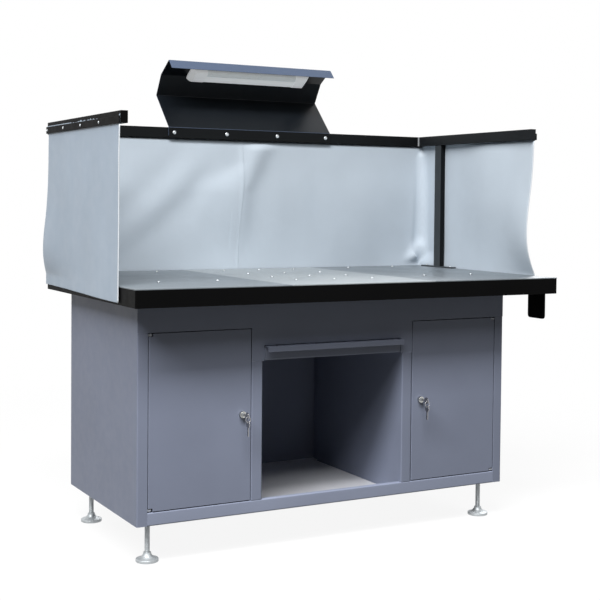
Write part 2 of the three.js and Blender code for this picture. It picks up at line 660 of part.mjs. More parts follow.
// Flat key: bow of radius BOW_RADIUS with its hole, and a shank or blade along (u, v) = (1, 0)
function keyBlank(reach) {
  const bow = new THREE.Shape().absarc(0, 0, BOW_RADIUS, 0, 2 * Math.PI);
  bow.holes.push(new THREE.Path().absarc(-BOW_HOLE_OUT, 0, BOW_HOLE_RADIUS, 0, 2 * Math.PI));
  const half = KEY_THICK / 2;
  const disc = extrude(bow, KEY_THICK, SMALL_ROUND).translate(0, 0, -half);
  const shank = block([BOW_RADIUS / 2, reach], [-SHANK_WIDE / 2, SHANK_WIDE / 2], [-half, half]);
  return join(disc, shank);
}

// Key in the lock: its flat stands upright, square to the door
function keyInLock() {
  const bowY = CAB_FRONT - BOW_REACH;
  return keyBlank(LOCK_FACE - FIT - bowY).applyMatrix4(ALONG_X).translate(LOCK_X, bowY, LOCK_Z);
}

const RING_Y = CAB_FRONT - BOW_REACH - BOW_HOLE_OUT;
const RING_HANG = BOW_HOLE_RADIUS - RING_WIRE - FIT;   // ring's wire below the middle of the hole
const RING_MIDDLE = LOCK_Z - RING_HANG - RING_RADIUS;

function keyRing() {
  const ring = new THREE.TorusGeometry(RING_RADIUS, RING_WIRE, WIRE_ROUND, ROUND).rotateX(Math.PI / 2);
  return ring.translate(LOCK_X, RING_Y, RING_MIDDLE);
}

// Spare key hanging on the ring, blade down
function spareKey() {
  const holeZ = RING_MIDDLE - RING_RADIUS - RING_HANG;
  const hang = new THREE.Matrix4().makeBasis(
    new THREE.Vector3(0, 0, -1), new THREE.Vector3(0, 1, 0), new THREE.Vector3(1, 0, 0));
  return keyBlank(BOW_RADIUS + BLADE_LONG).applyMatrix4(hang)
    .translate(LOCK_X, RING_Y, holeZ - BOW_HOLE_OUT);
}

const upperNotch = DOOR_HIGH - NOTCH_TALL;
const lowerNotch = DOOR_LOW + NOTCH_TALL;
const eyePlay = (NOTCH_TALL - EYE_TALL) / 2;
placePair('door', doorPan(), paint, CAB_MID);
placePair('upper_hinge_eye', hingeEye(upperNotch + eyePlay), zinc, CAB_MID);
placePair('lower_hinge_eye', hingeEye(lowerNotch - eyePlay - EYE_TALL), zinc, CAB_MID);
placePair('upper_hinge_pivot', hingePivot(upperNotch, 1), zinc, CAB_MID);
placePair('lower_hinge_pivot', hingePivot(lowerNotch, -1), zinc, CAB_MID);
placePair('lock_body', lockBody(), chrome, CAB_MID);
placePair('lock_cam', lockCam(), zinc, CAB_MID);
placePair('key', keyInLock(), chrome, CAB_MID);
placePair('key_ring', keyRing(), chrome, CAB_MID);
placePair('spare_key', spareKey(), chrome, CAB_MID);

// Levelling feet
function footStem(x, y) {
  return rod(STEM_RADIUS, x, y, [PAD_TALL - PAD_SOCKET + FIT, FLOOR_TOP + STEM_ABOVE], ROUND);
}

function footPad(x, y) {
  const seat = PAD_TALL - PAD_SOCKET;
  const socket = STEM_RADIUS + PIN_PLAY;
  const flare = new THREE.QuadraticBezierCurve(
    new THREE.Vector2(PAD_RADIUS - PAD_CHAMFER, PAD_EDGE),
    new THREE.Vector2(PAD_NECK + PAD_CHAMFER, PAD_EDGE + PAD_FLARE),
    new THREE.Vector2(PAD_NECK, PAD_TALL));
  const slope = flare.getPoints(FLARE_STEPS).map((point) => [point.x, point.y]);
  const pad = turned([
    [0, 0], [PAD_RADIUS - PAD_CHAMFER, 0], [PAD_RADIUS, PAD_CHAMFER], [PAD_RADIUS, PAD_EDGE - PAD_CHAMFER],
    ...slope, [socket, PAD_TALL], [socket, seat], [0, seat]], x, y, 0);
  return cut(pad, rod(PAD_BOLT_RADIUS, x + PAD_BOLT_OUT, y, [-FIT, PAD_TALL]));
}

footPlaces.forEach(([corner, x, y]) => {
  place(`${corner}_foot_stem`, footStem(x, y), zinc);
  place(`${corner}_foot_pad`, footPad(x, y), zinc);
});

// Screen frame
function sideRail() {
  const outer = rectangle([TOP_LEFT, TOP_LEFT + RAIL_WIDE], [RAIL_UNDER, RAIL_TOP], TUBE_CORNER);
  const wall = TUBE_WALL;
  const bore = block([TOP_LEFT + wall, TOP_LEFT + RAIL_WIDE - wall],
    [RAIL_FRONT + wall, TOP_DEEP + wall], [RAIL_UNDER + wall, RAIL_TOP - wall]);
  return cut(alongY(outer, [RAIL_FRONT, TOP_DEEP]), bore);
}

function backRail() {
  const end = TOP_RIGHT - RAIL_WIDE - FIT;
  const front = TOP_DEEP - RAIL_WIDE;
  const outer = rectangle([front, TOP_DEEP], [RAIL_UNDER, RAIL_TOP], TUBE_CORNER);
  const wall = TUBE_WALL;
  const bore = block([-end - wall, end + wall], [front + wall, TOP_DEEP - wall],
    [RAIL_UNDER + wall, RAIL_TOP - wall]);
  return cut(alongX(outer, [-end, end]), bore);
}

// Post on a foot plate, open at both ends
function post() {
  const back = TOP_DEEP - POST_BACK;
  const front = back - POST_DEEP;
  const wall = TUBE_WALL;
  const high = RAIL_UNDER - FIT;
  const low = TOP_HIGH + FIT;
  const outer = rectangle([TOP_LEFT, TOP_LEFT + POST_WIDE], [front, back], TUBE_CORNER);
  const spare = (POST_FOOT_LONG - POST_DEEP) / 2;
  const foot = block([TOP_LEFT, TOP_LEFT + POST_FOOT_WIDE], [front - spare, back + spare],
    [low, low + POST_FOOT_THICK]);
  const bore = block([TOP_LEFT + wall, TOP_LEFT + POST_WIDE - wall], [front + wall, back - wall],
    [low - wall, high + wall]);
  return cut(join(alongZ(outer, [low, high]), foot), bore);
}

placePair('rail', sideRail(), black, 0);
place('back_rail', backRail(), black);
placePair('post', post(), black, 0);

// Hanging cloth. Each cloth runs from the front end of its side rail round the back corner.
// It is flat where the batten clamps it, and billows, folds and curls below.
const CLOTH_FRONT = RAIL_FRONT + CLOTH_SETBACK;
const SIDE_STEPS = 14;
const CORNER_STEPS = 5;
const BACK_STEPS = 18;
const DROP_STEPS = 11;     // the first from the cloth's top edge to the batten's lower edge

const bell = (distance, width) => Math.exp(-((distance / width) ** 2));
const swell = (w, end, power) => Math.sin(Math.PI * Math.min(w / end, 1) ** power);
const clearOfLap = (x, lap) =>
  THREE.MathUtils.smoothstep(Math.abs(x - lap), LAP_NEAR * CLOTH_LAP, LAP_FAR * CLOTH_LAP);

// Way along the cloth's inner face at height z: points with outward normals, for a left-hand cloth
function clothWay(offset, corner, endX) {
  const x = TOP_LEFT - FIT;
  const y = TOP_DEEP + offset;
  const way = [];
  for (let i = 0; i < SIDE_STEPS; i++) {
    const along = THREE.MathUtils.lerp(CLOTH_FRONT, y - corner, i / SIDE_STEPS);
    way.push({ x, y: along, nx: -1, ny: 0 });
  }
  for (let i = 0; i <= CORNER_STEPS; i++) {
    const angle = Math.PI - (Math.PI / 2) * (i / CORNER_STEPS);
    const [nx, ny] = [Math.cos(angle), Math.sin(angle)];
    way.push({ x: x + corner + corner * nx, y: y - corner + corner * ny, nx, ny });
  }
  for (let i = 1; i <= BACK_STEPS; i++) {
    way.push({ x: THREE.MathUtils.lerp(x + corner, endX, i / BACK_STEPS), y, nx: 0, ny: 1 });
  }
  return way;
}

// Closed sheet between an inner and an outer grid of points
function clothSheet(offset, endX, lift, cornerAt, billow) {
  const inner = [];
  const outer = [];
  for (let row = 0; row <= DROP_STEPS; row++) {
    const w = Math.max(0, (row - 1) / (DROP_STEPS - 1));
    clothWay(offset, cornerAt(w), endX).forEach((spot) => {
      const out = billow(spot, w);
      const hem = CLOTH_LOW + lift * THREE.MathUtils.smoothstep(spot.y, CLOTH_FRONT, TOP_DEEP);
      const z = row === 0 ? CLOTH_HIGH : THREE.MathUtils.lerp(BATTEN_LOW, hem, w);
      inner.push(spot.x + spot.nx * out, spot.y + spot.ny * out, z);
      outer.push(spot.x + spot.nx * (out + CLOTH_THICK), spot.y + spot.ny * (out + CLOTH_THICK), z);
    });
  }
  const columns = SIDE_STEPS + CORNER_STEPS + 1 + BACK_STEPS;
  const count = inner.length / 3;
  const faces = [];
  const quad = (a, b, c, d) => faces.push(a, b, c, a, c, d);
  for (let row = 0; row < DROP_STEPS; row++) {
    for (let column = 0; column < columns - 1; column++) {
      const a = row * columns + column;
      quad(a, a + columns, a + columns + 1, a + 1);
      quad(count + a, count + a + 1, count + a + columns + 1, count + a + columns);
    }
    const left = row * columns;
    const right = left + columns - 1;
    quad(left, count + left, count + left + columns, left + columns);
    quad(right, right + columns, count + right + columns, count + right);
  }
  const last = DROP_STEPS * columns;
  for (let column = 0; column < columns - 1; column++) {
    quad(column, column + 1, count + column + 1, count + column);
    quad(last + column, count + last + column, count + last + column + 1, last + column + 1);
  }
  const geometry = new THREE.BufferGeometry();
  geometry.setAttribute('position', new THREE.Float32BufferAttribute([...inner, ...outer], 3));
  geometry.setIndex(faces);
  return geometry;
}

// Left cloth: a bulge at the back corner and a slanting fold on the back, flat again at the hem
function leftBillow(spot, w) {
  const cornerGap = Math.hypot(spot.x - TOP_LEFT, spot.y - TOP_DEEP);
  const bulge = BULGE * bell(cornerGap, BULGE_REACH) * swell(w, BULGE_END, BULGE_POWER);
  const across = (spot.x - CLOTH_SEAM) * FOLD_SLOPE + w * FOLD_FALL - FOLD_START;
  const slant = spot.ny * across / FOLD_WIDE;
  const fold = FOLD * slant * bell(slant, FOLD_SPREAD) * swell(w, 1, 1) * clearOfLap(spot.x, CLOTH_SEAM);
  return CLOTH_SLACK * w + bulge + fold * (1 - w ** 4);
}

// Right cloth, worked out as a left-hand one: its front edge curls in and its side billows
function rightBillow(spot, w) {
  const curl = spot.nx * CURL * bell(spot.y - CLOTH_FRONT, CURL_REACH) * swell(w, CURL_END, CURL_POWER);
  const middle = (CLOTH_FRONT + TOP_DEEP) / 2;
  const bulge = -spot.nx * BULGE * bell(spot.y - middle, BULGE_REACH) * swell(w, BULGE_END, BULGE_POWER);
  const ripple = Math.sin((spot.x - TOP_LEFT) / RIPPLE_PITCH) * clearOfLap(spot.x, -CLOTH_SEAM);
  return CLOTH_SLACK * w + curl + bulge + RIPPLE * spot.ny * ripple * swell(w, 1, 1);
}

const tightCorner = () => CORNER_TIGHT;
const slackCorner = (w) => CORNER_TIGHT + CORNER_SLACK * swell(w, CORNER_END, CORNER_POWER);
const lapOffset = 2 * FIT + CLOTH_THICK;
place('left_cloth', clothSheet(FIT, CLOTH_SEAM, CLOTH_HEM_LIFT, tightCorner, leftBillow), cloth);
const rightCloth = clothSheet(lapOffset, -CLOTH_SEAM + CLOTH_LAP, 0, slackCorner, rightBillow);
place('right_cloth', mirrored(rightCloth, 0), cloth);

// Battens that clamp the cloth
const sideBatten = TOP_LEFT - 2 * FIT - CLOTH_THICK;
placePair('batten', block([sideBatten - BATTEN_THICK, sideBatten], [RAIL_FRONT, TOP_DEEP],
  [BATTEN_LOW, BATTEN_HIGH]), black, 0);
const backBatten = TOP_DEEP + lapOffset + CLOTH_THICK + FIT;
place('back_batten', block([TOP_LEFT, TOP_RIGHT], [backBatten, backBatten + BATTEN_THICK],
  [BATTEN_LOW, BATTEN_HIGH]), black);

// Lamp hood
const step = ([y, z], [back, up]) => [y + back, z + up];
const hoodFoot = [HOOD_FACE, RAIL_TOP + BEND / 2];
const hoodRear = step(hoodFoot, HOOD_LEAN);
const hoodBreak = step(hoodRear, HOOD_MIDDLE);
const hoodFront = step(hoodBreak, HOOD_ROOF);
const hoodTip = step(hoodFront, HOOD_LIP);

function lampHood() {
  const flangeLow = [HOOD_FACE, hoodFoot[1] - HOOD_FLANGE];
  const outline = foldedSheet([flangeLow, hoodFoot, hoodRear, hoodBreak, hoodFront, hoodTip], HOOD_GAUGE);
  return alongX(outline, [-HOOD_LONG / 2, HOOD_LONG / 2]);
}
place('lamp_hood', lampHood(), hoodPaint);

const barBack = HOOD_FACE - HOOD_GAUGE - FIT;
place('hood_clamp_bar', block([-HOOD_LONG / 2, HOOD_LONG / 2], [barBack - CLAMP_BAR_THICK, barBack],
  [RAIL_UNDER, RAIL_TOP - FIT]), black);

// Lamp, built flat with its back on z = 0 and then turned under the hood's roof
const roofTurn = Math.atan2(HOOD_ROOF[1], HOOD_ROOF[0]);
const roofNormal = [-Math.sin(roofTurn), Math.cos(roofTurn)];
const lampGroup = new THREE.Group();
lampGroup.rotation.x = roofTurn;
lampGroup.position.set(0,
  (hoodBreak[0] + hoodFront[0]) / 2 + roofNormal[0] * (HOOD_GAUGE + FIT),
  (hoodBreak[1] + hoodFront[1]) / 2 + roofNormal[1] * (HOOD_GAUGE + FIT));
bench.add(lampGroup);

function lampEnvelope(inset) {
  const half = LAMP_WIDE / 2 - inset;
  const top = LAMP_TALL - inset;
  const end = LAMP_LONG / 2;
  const section = alongX(roundedOutline([
    [-half, 0], [half, 0], [half, top, LAMP_ROUND], [-half, top, LAMP_ROUND]]), [-end, end], LAMP_STEPS);
  const foot = end - LAMP_END_UNDERCUT;
  const crown = end - LAMP_END_SLOPE;
  const side = alongY(roundedOutline([
    [-foot, 0], [foot, 0], [end, LAMP_END_RISE, LAMP_END_ROUND], [crown, top, LAMP_END_ROUND],
    [-crown, top, LAMP_END_ROUND], [-end, LAMP_END_RISE, LAMP_END_ROUND]]), [-half - FIT, half + FIT]);
  return common(section, side);
}

const lampMiddle = LAMP_LONG / 2 - LAMP_CAP;
const diffuserRoom = (gap) => block([-lampMiddle - gap, lampMiddle + gap], [-LAMP_WIDE, LAMP_WIDE],
  [LAMP_BASE_TALL - gap, 2 * LAMP_TALL]);
place('lamp_body', cut(lampEnvelope(0), diffuserRoom(FIT)), whitePlastic, lampGroup);
place('lamp_diffuser', common(lampEnvelope(LAMP_CAP_PROUD), diffuserRoom(0)), diffuser, lampGroup);

export default bench;
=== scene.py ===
"""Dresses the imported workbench: finishes, edges, threads, screws, cloth, light and camera."""

import json
import math
from collections import namedtuple

import bmesh
import bpy
from mathutils import Matrix, Vector, noise

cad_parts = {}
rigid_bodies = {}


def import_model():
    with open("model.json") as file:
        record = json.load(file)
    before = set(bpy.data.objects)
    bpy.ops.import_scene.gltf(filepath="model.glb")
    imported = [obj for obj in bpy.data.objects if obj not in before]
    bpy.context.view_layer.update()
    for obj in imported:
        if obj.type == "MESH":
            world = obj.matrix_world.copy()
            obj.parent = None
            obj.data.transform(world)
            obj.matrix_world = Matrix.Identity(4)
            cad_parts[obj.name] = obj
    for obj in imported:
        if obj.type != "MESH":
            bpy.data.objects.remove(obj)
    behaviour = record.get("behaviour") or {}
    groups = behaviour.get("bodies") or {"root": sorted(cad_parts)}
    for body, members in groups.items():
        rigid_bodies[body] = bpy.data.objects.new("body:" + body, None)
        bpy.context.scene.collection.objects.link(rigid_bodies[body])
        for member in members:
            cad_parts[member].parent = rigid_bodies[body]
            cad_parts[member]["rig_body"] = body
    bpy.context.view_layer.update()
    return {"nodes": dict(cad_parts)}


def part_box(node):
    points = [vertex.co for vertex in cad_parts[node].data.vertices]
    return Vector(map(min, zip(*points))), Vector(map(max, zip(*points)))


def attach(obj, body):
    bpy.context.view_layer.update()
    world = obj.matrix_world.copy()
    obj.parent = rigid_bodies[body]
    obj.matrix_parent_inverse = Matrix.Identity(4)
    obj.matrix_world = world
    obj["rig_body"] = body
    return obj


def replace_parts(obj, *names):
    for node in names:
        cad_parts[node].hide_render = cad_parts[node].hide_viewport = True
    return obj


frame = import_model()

MM = 0.001

# Camera, fitted to the photograph's edges: place from the worktop's front edge, in metres
CAMERA_PLACE = Vector((-1.9521, -3.1817, 1.0679))
CAMERA_YAW = math.radians(28.841)
CAMERA_PITCH = math.radians(2.014)
CAMERA_ROLL = math.radians(-0.539)
FOCAL_PIXELS = 1218.7
IMAGE_PIXELS = 600
AXIS_PIXEL = (309.9, 243.7)
SENSOR_MM = 36

# Colours, linear
PAINT = (0.200, 0.224, 0.300)
# the cabinet paint made paler for the bottom rail: painted light from the floor below
PAINTED_LIT_RAIL = (0.255, 0.285, 0.380)
HINGE_PAINT = (0.42, 0.45, 0.52)
BLACK = (0.0036, 0.0036, 0.0038)
FRAME_BLACK = (0.010, 0.0115, 0.013)
RAIL_BLACK_SHARE = 0.55
POST_BLACK = (0.034, 0.039, 0.043)
# Bay floor: painted shade at the front and painted light further in
FLOOR_FRONT_SHADE = (0.25, 0.255, 0.285)
FLOOR_BACK_LIGHT = (0.72, 0.73, 0.77)
PLATE = (0.151, 0.174, 0.194)
PALE_PLATE = (0.270, 0.298, 0.315)
ZINC = (0.50, 0.53, 0.55)
NICKEL = (0.50, 0.50, 0.48)
KEY_STEEL = (0.36, 0.355, 0.36)
WELD = (0.20, 0.21, 0.22)
CLOTH = (0.458, 0.517, 0.579)
# the cloth's outer face is painted darker than its inner face: painted shade
CLOTH_OUTSIDE_SHADE = (0.348, 0.425, 0.520)
BINDING = (0.62, 0.66, 0.70)
HOOD = (0.075, 0.101, 0.158)
# near black: painted shade inside the hood
HOOD_INSIDE_SHADE = (0.0044, 0.0060, 0.0082)
FOOT_ZINC = (0.47, 0.50, 0.52)
LAMP_WHITE = (0.86, 0.87, 0.88)
LAMP_COVER = (0.74, 0.80, 0.80)

# Places that the frame gives
rim_low, rim_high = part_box("top_rim")
FRONT = rim_low.y
BACK = rim_high.y
HALF_LONG = rim_high.x
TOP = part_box("centre_top_plate")[1].z
RAIL_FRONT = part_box("left_rail")[0].y
BATTEN_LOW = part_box("left_batten")[0].z
BATTEN_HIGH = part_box("left_batten")[1].z
CLOTH_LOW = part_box("left_cloth")[0].z
CLOTH_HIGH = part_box("left_cloth")[1].z


# Materials
EDGE_REACH = 2.6 * MM       # how far from an edge the paint is paler: rubbed wear and painted highlight
EDGE_MATCH = (0.86, 0.99)   # cosine to the rounded normal: paler edge most, and not at all
BUMP_DEPTH = 0.2 * MM
WEAVE_DEPTH = 0.4 * MM
GRAIN_DEPTH = 0.1 * MM
FLOOR_LIGHT_FROM = (-0.31, -0.09)  # from front to back: where the painted light starts to rise, and where it is full
# emission colour of the lamp parts: painted light
LAMP_PAINTED_GLOW = (0.96, 0.98, 1, 1)


class Finish:
    """A material with a Principled shader and short calls for the nodes that feed it."""

    def __init__(self, name, **constants):
        self.material = bpy.data.materials.new(name)
        self.material.use_nodes = True
        self.tree = self.material.node_tree
        self.shader = self.tree.nodes["Principled BSDF"]
        for socket, value in constants.items():
            self.shader.inputs[socket.replace("_", " ")].default_value = value
        self.place = self.tree.nodes.new("ShaderNodeTexCoord").outputs["Object"]

    def node(self, kind, **settings):
        made = self.tree.nodes.new(kind)
        for name, value in settings.items():
            setattr(made, name, value)
        return made

    def link(self, start, end):
        self.tree.links.new(start, end)

    def stretched(self, scale):
        mapping = self.node("ShaderNodeMapping")
        mapping.inputs["Scale"].default_value = scale
        self.link(self.place, mapping.inputs["Vector"])
        return mapping.outputs["Vector"]

    def noise(self, scale, detail=3.0, vector=None):
        texture = self.node("ShaderNodeTexNoise")
        texture.inputs["Scale"].default_value = scale
        texture.inputs["Detail"].default_value = detail
        self.link(vector or self.place, texture.inputs["Vector"])
        return texture.outputs["Fac"]

    def wave(self, direction, scale, vector=None):
        texture = self.node("ShaderNodeTexWave", wave_type="BANDS", bands_direction=direction)
        texture.inputs["Scale"].default_value = scale
        self.link(vector or self.place, texture.inputs["Vector"])
        return texture.outputs["Fac"]

    def ranged(self, value, low, high, start=0.3, end=0.7):
        remap = self.node("ShaderNodeMapRange")
        remap.inputs["From Min"].default_value = start
        remap.inputs["From Max"].default_value = end
        remap.inputs["To Min"].default_value = low
        remap.inputs["To Max"].default_value = high
        self.link(value, remap.inputs["Value"])
        return remap.outputs["Result"]

    def math(self, operation, first, second):
        made = self.node("ShaderNodeMath", operation=operation)
        for socket, value in zip(made.inputs, (first, second)):
            if isinstance(value, (int, float)):
                socket.default_value = value
            else:
                self.link(value, socket)
        return made.outputs["Value"]

    def tones(self, value, dark, light, start=0.3, end=0.7):
        ramp = self.node("ShaderNodeValToRGB")
        ramp.color_ramp.elements[0].position = start
        ramp.color_ramp.elements[0].color = (*dark, 1)
        ramp.color_ramp.elements[1].position = end
        ramp.color_ramp.elements[1].color = (*light, 1)
        self.link(value, ramp.inputs["Fac"])
        return ramp.outputs["Color"]

    def edges(self, reach):
        """1 on and near sharp edges, 0 on open faces."""
        rounded = self.node("ShaderNodeBevel", samples=4)
        rounded.inputs["Radius"].default_value = reach
        match = self.node("ShaderNodeVectorMath", operation="DOT_PRODUCT")
        self.link(rounded.outputs["Normal"], match.inputs[0])
        self.link(self.node("ShaderNodeNewGeometry").outputs["Normal"], match.inputs[1])
        return self.ranged(match.outputs["Value"], 1.0, 0.0, *EDGE_MATCH)

    def blended(self, share, first, second):
        mix = self.node("ShaderNodeMix", data_type="RGBA")
        self.link(share, mix.inputs["Factor"])
        self.link(first, mix.inputs["A"])
        self.link(second, mix.inputs["B"])
        return mix.outputs["Result"]

    def colour(self, socket):
        self.link(socket, self.shader.inputs["Base Color"])

    def roughness(self, socket):
        self.link(socket, self.shader.inputs["Roughness"])

    def relief(self, height, strength, depth):
        bump = self.node("ShaderNodeBump")
        bump.inputs["Strength"].default_value = strength
        bump.inputs["Distance"].default_value = depth
        self.link(height, bump.inputs["Height"])
        self.link(bump.outputs["Normal"], self.shader.inputs["Normal"])


def shade(colour, factor):
    return tuple(min(1.0, channel * factor) for channel in colour)


def sprayed(finish, roughness, peel):
    """The surface of sprayed paint: an uneven gloss and orange peel."""
    uneven = finish.noise(scale=38.0)
    finish.roughness(finish.ranged(uneven, low=roughness - 0.05, high=roughness + 0.05))
    finish.relief(finish.noise(scale=650.0, detail=2.0), strength=peel, depth=BUMP_DEPTH)
    return finish.material


def powder_coat(name, colour, spread, roughness, peel, gloss, wear_and_highlight=1.5):
    """Sprayed paint with faint clouds, and edges paler here and there: partly rubbed wear, partly
    painted highlight.
    """
    finish = Finish(name, Specular_IOR_Level=gloss)
    clouds = finish.noise(scale=5.0, detail=4.0)
    coat = finish.tones(clouds, shade(colour, 1 - spread), shade(colour, 1 + spread))
    worn_and_highlit = finish.tones(clouds, shade(colour, wear_and_highlight), shade(colour, wear_and_highlight + spread))
    patches = finish.ranged(finish.noise(scale=28.0, detail=4.0), low=0.25, high=1.0)
    wear_and_highlight_share = finish.math("MULTIPLY", finish.edges(EDGE_REACH), patches)
    finish.colour(finish.blended(wear_and_highlight_share, coat, worn_and_highlit))
    return sprayed(finish, roughness, peel)


def painted_light_floor(name, front_shade, back_light):
    """Painted floor with painted light and shade: darker at the front and paler further in,
    standing in for light that reaches deep into the bay.
    """
    finish = Finish(name, Specular_IOR_Level=0.10)
    way_in = finish.node("ShaderNodeSeparateXYZ")
    finish.link(finish.place, way_in.inputs["Vector"])
    depth = finish.ranged(way_in.outputs["Y"], 0.0, 1.0, *FLOOR_LIGHT_FROM)
    clouds = finish.ranged(finish.noise(scale=6.0, detail=4.0), low=-0.08, high=0.08)
    light_share = finish.math("ADD", depth, clouds)
    finish.colour(finish.tones(light_share, front_shade, back_light, start=0.0, end=1.0))
    return sprayed(finish, roughness=0.50, peel=0.10)


def plate_steel(name, colour):
    """Rolled steel sheet: streaks along the bench, dull blotches and fine scratches."""
    finish = Finish(name, Metallic=0.25)
    streaks = finish.noise(scale=14.0, detail=6.0, vector=finish.stretched((0.5, 9.0, 9.0)))
    blotches = finish.noise(scale=6.0, detail=5.0)
    mix = finish.math("MULTIPLY_ADD", streaks, 0.6)
    finish.link(finish.math("MULTIPLY", blotches, 0.4), mix.node.inputs[2])
    finish.colour(finish.tones(mix, shade(colour, 0.9), shade(colour, 1.1), start=0.35, end=0.65))
    finish.roughness(finish.ranged(blotches, low=0.34, high=0.5))
    scratches = finish.noise(scale=220.0, detail=4.0, vector=finish.stretched((0.15, 3.0, 3.0)))
    finish.relief(scratches, strength=0.12, depth=BUMP_DEPTH)
    return finish.material


def plated(name, colour, roughness, metal=1.0):
    """Zinc or nickel plating: bright metal with a soft spangle."""
    finish = Finish(name, Metallic=metal)
    spangle = finish.noise(scale=130.0, detail=4.0)
    finish.colour(finish.tones(spangle, shade(colour, 0.86), shade(colour, 1.12)))
    uneven = finish.noise(scale=60.0)
    finish.roughness(finish.ranged(uneven, low=roughness - 0.06, high=roughness + 0.08))
    finish.relief(finish.noise(scale=500.0, detail=2.0), strength=0.05, depth=BUMP_DEPTH)
    return finish.material


def woven_cloth(name, colour):
    """Coated cloth: a fine weave under the coating, soft creases of tone and a faint sheen."""
    finish = Finish(name, Sheen_Weight=0.15, Sheen_Roughness=0.4, Specular_IOR_Level=0.35)
    warp = finish.wave("Z", scale=260.0)
    along = finish.stretched((1.0, 1.0, 0.0))
    weft = finish.wave("DIAGONAL", scale=150.0, vector=along)
    weave = finish.math("MULTIPLY", warp, weft)
    clouds = finish.noise(scale=3.2, detail=5.0)
    tone = finish.math("MULTIPLY_ADD", clouds, 0.85)
    finish.link(finish.math("MULTIPLY", weave, 0.15), tone.node.inputs[2])
    finish.colour(finish.tones(tone, shade(colour, 0.93), shade(colour, 1.07)))
    finish.roughness(finish.ranged(finish.noise(scale=24.0), low=0.42, high=0.56))
    finish.relief(weave, strength=0.18, depth=WEAVE_DEPTH)
    return finish.material


def moulded(name, colour, roughness, painted_glow):
    """Moulded plastic with a faint flow pattern and grain, and a little emission: painted light
    that stands in for the light falling on the lamp in the hood's shade.
    """
    finish = Finish(name, Specular_IOR_Level=0.45, Emission_Color=LAMP_PAINTED_GLOW, Emission_Strength=painted_glow)
    flow = finish.noise(scale=9.0, detail=3.0, vector=finish.stretched((0.3, 1.0, 1.0)))
    finish.colour(finish.tones(flow, shade(colour, 0.97), shade(colour, 1.03)))
    uneven = finish.noise(scale=40.0)
    finish.roughness(finish.ranged(uneven, low=roughness - 0.04, high=roughness + 0.04))
    finish.relief(finish.noise(scale=900.0, detail=1.0), strength=0.04, depth=GRAIN_DEPTH)
    return finish.material


# the cabinet paint's paler edges reach far: painted highlight along the stiles and doors as well as
# wear
paint = powder_coat("cabinet_paint", PAINT,
                    spread=0.04, roughness=0.44, peel=0.10, gloss=0.12, wear_and_highlight=1.7)
hinge_paint = powder_coat("hinge_paint", HINGE_PAINT,
                          spread=0.04, roughness=0.40, peel=0.10, gloss=0.2)
painted_lit_rail = powder_coat("painted_lit_rail", PAINTED_LIT_RAIL,
                         spread=0.04, roughness=0.44, peel=0.10, gloss=0.12, wear_and_highlight=1.15)
black = powder_coat("black_paint", BLACK,
                    spread=0.12, roughness=0.42, peel=0.14, gloss=0.02)
post_black = powder_coat("post_black", POST_BLACK,
                         spread=0.12, roughness=0.40, peel=0.12, gloss=0.12)
frame_black = powder_coat("frame_black", FRAME_BLACK,
                          spread=0.12, roughness=0.40, peel=0.12, gloss=0.12)
rail_black = powder_coat("rail_black", shade(FRAME_BLACK, RAIL_BLACK_SHARE),
                         spread=0.12, roughness=0.40, peel=0.12, gloss=0.08)
hood_paint = powder_coat("hood_paint", HOOD,
                         spread=0.05, roughness=0.46, peel=0.04, gloss=0.12)
hood_inside_painted_shade = powder_coat("hood_inside_painted_shade", HOOD_INSIDE_SHADE,
                          spread=0.10, roughness=0.34, peel=0.012, gloss=0.20)
pan_floor = painted_light_floor("pan_floor", FLOOR_FRONT_SHADE, FLOOR_BACK_LIGHT)
plate = plate_steel("top_steel", PLATE)
pale_plate = plate_steel("centre_steel", PALE_PLATE)
zinc = plated("zinc", ZINC, roughness=0.34)
foot_zinc = plated("foot_zinc", FOOT_ZINC, roughness=0.46, metal=0.55)
nickel = plated("lock_nickel", NICKEL, roughness=0.22)
key_steel = plated("key_steel", KEY_STEEL, roughness=0.26)
weld = plated("weld", WELD, roughness=0.5, metal=0.4)
cloth = woven_cloth("screen_cloth", CLOTH)
cloth_outside_shade = woven_cloth("cloth_outside_shade", CLOTH_OUTSIDE_SHADE)
binding = woven_cloth("cloth_binding", BINDING)
lamp_white = moulded("lamp_white", LAMP_WHITE, roughness=0.32, painted_glow=0.28)
lamp_cover = moulded("lamp_cover", LAMP_COVER, roughness=0.26, painted_glow=0.20)
lamp_cover_painted_light = moulded("lamp_cover_painted_light", LAMP_COVER, roughness=0.26, painted_glow=0.34)


# Pieces
SAME_POINT = 1e-6
FLAT_ANGLE = math.radians(0.4)
SHARP_ANGLE = math.radians(35)
EDGE_SEGMENTS = 2


def new_piece(name, mesh, materials, body):
    piece = bpy.data.objects.new(name, mesh)
    bpy.context.scene.collection.objects.link(piece)
    for material in materials:
        mesh.materials.append(material)
    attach(piece, body)
    return piece


def mesh_from(bm, name, closed=True):
    for face in bm.faces:
        face.smooth = True
    mesh = bpy.data.meshes.new(name)
    if closed:
        bmesh.ops.recalc_face_normals(bm, faces=bm.faces)
    bm.to_mesh(mesh)
    bm.free()
    return mesh


def skin(bm, rings):
    """A closed skin over rings of points, with a cap on the first and on the last."""
    rings = [[bm.verts.new(point) for point in ring] for ring in rings]
    for lower, upper in zip(rings, rings[1:]):
        for i in range(len(lower)):
            after = (i + 1) % len(lower)
            bm.faces.new((lower[i], lower[after], upper[after], upper[i]))
    bm.faces.new(reversed(rings[0]))
    bm.faces.new(rings[-1])


def soften(piece, edge):
    """Rounds the piece's sharp edges by edge millimetres."""
    bevel = piece.modifiers.new("edges", "BEVEL")
    bevel.width = edge * MM
    bevel.segments = EDGE_SEGMENTS
    bevel.limit_method = "ANGLE"
    bevel.angle_limit = SHARP_ANGLE
    bevel.use_clamp_overlap = False
    piece.modifiers.new("normals", "WEIGHTED_NORMAL")
    return piece


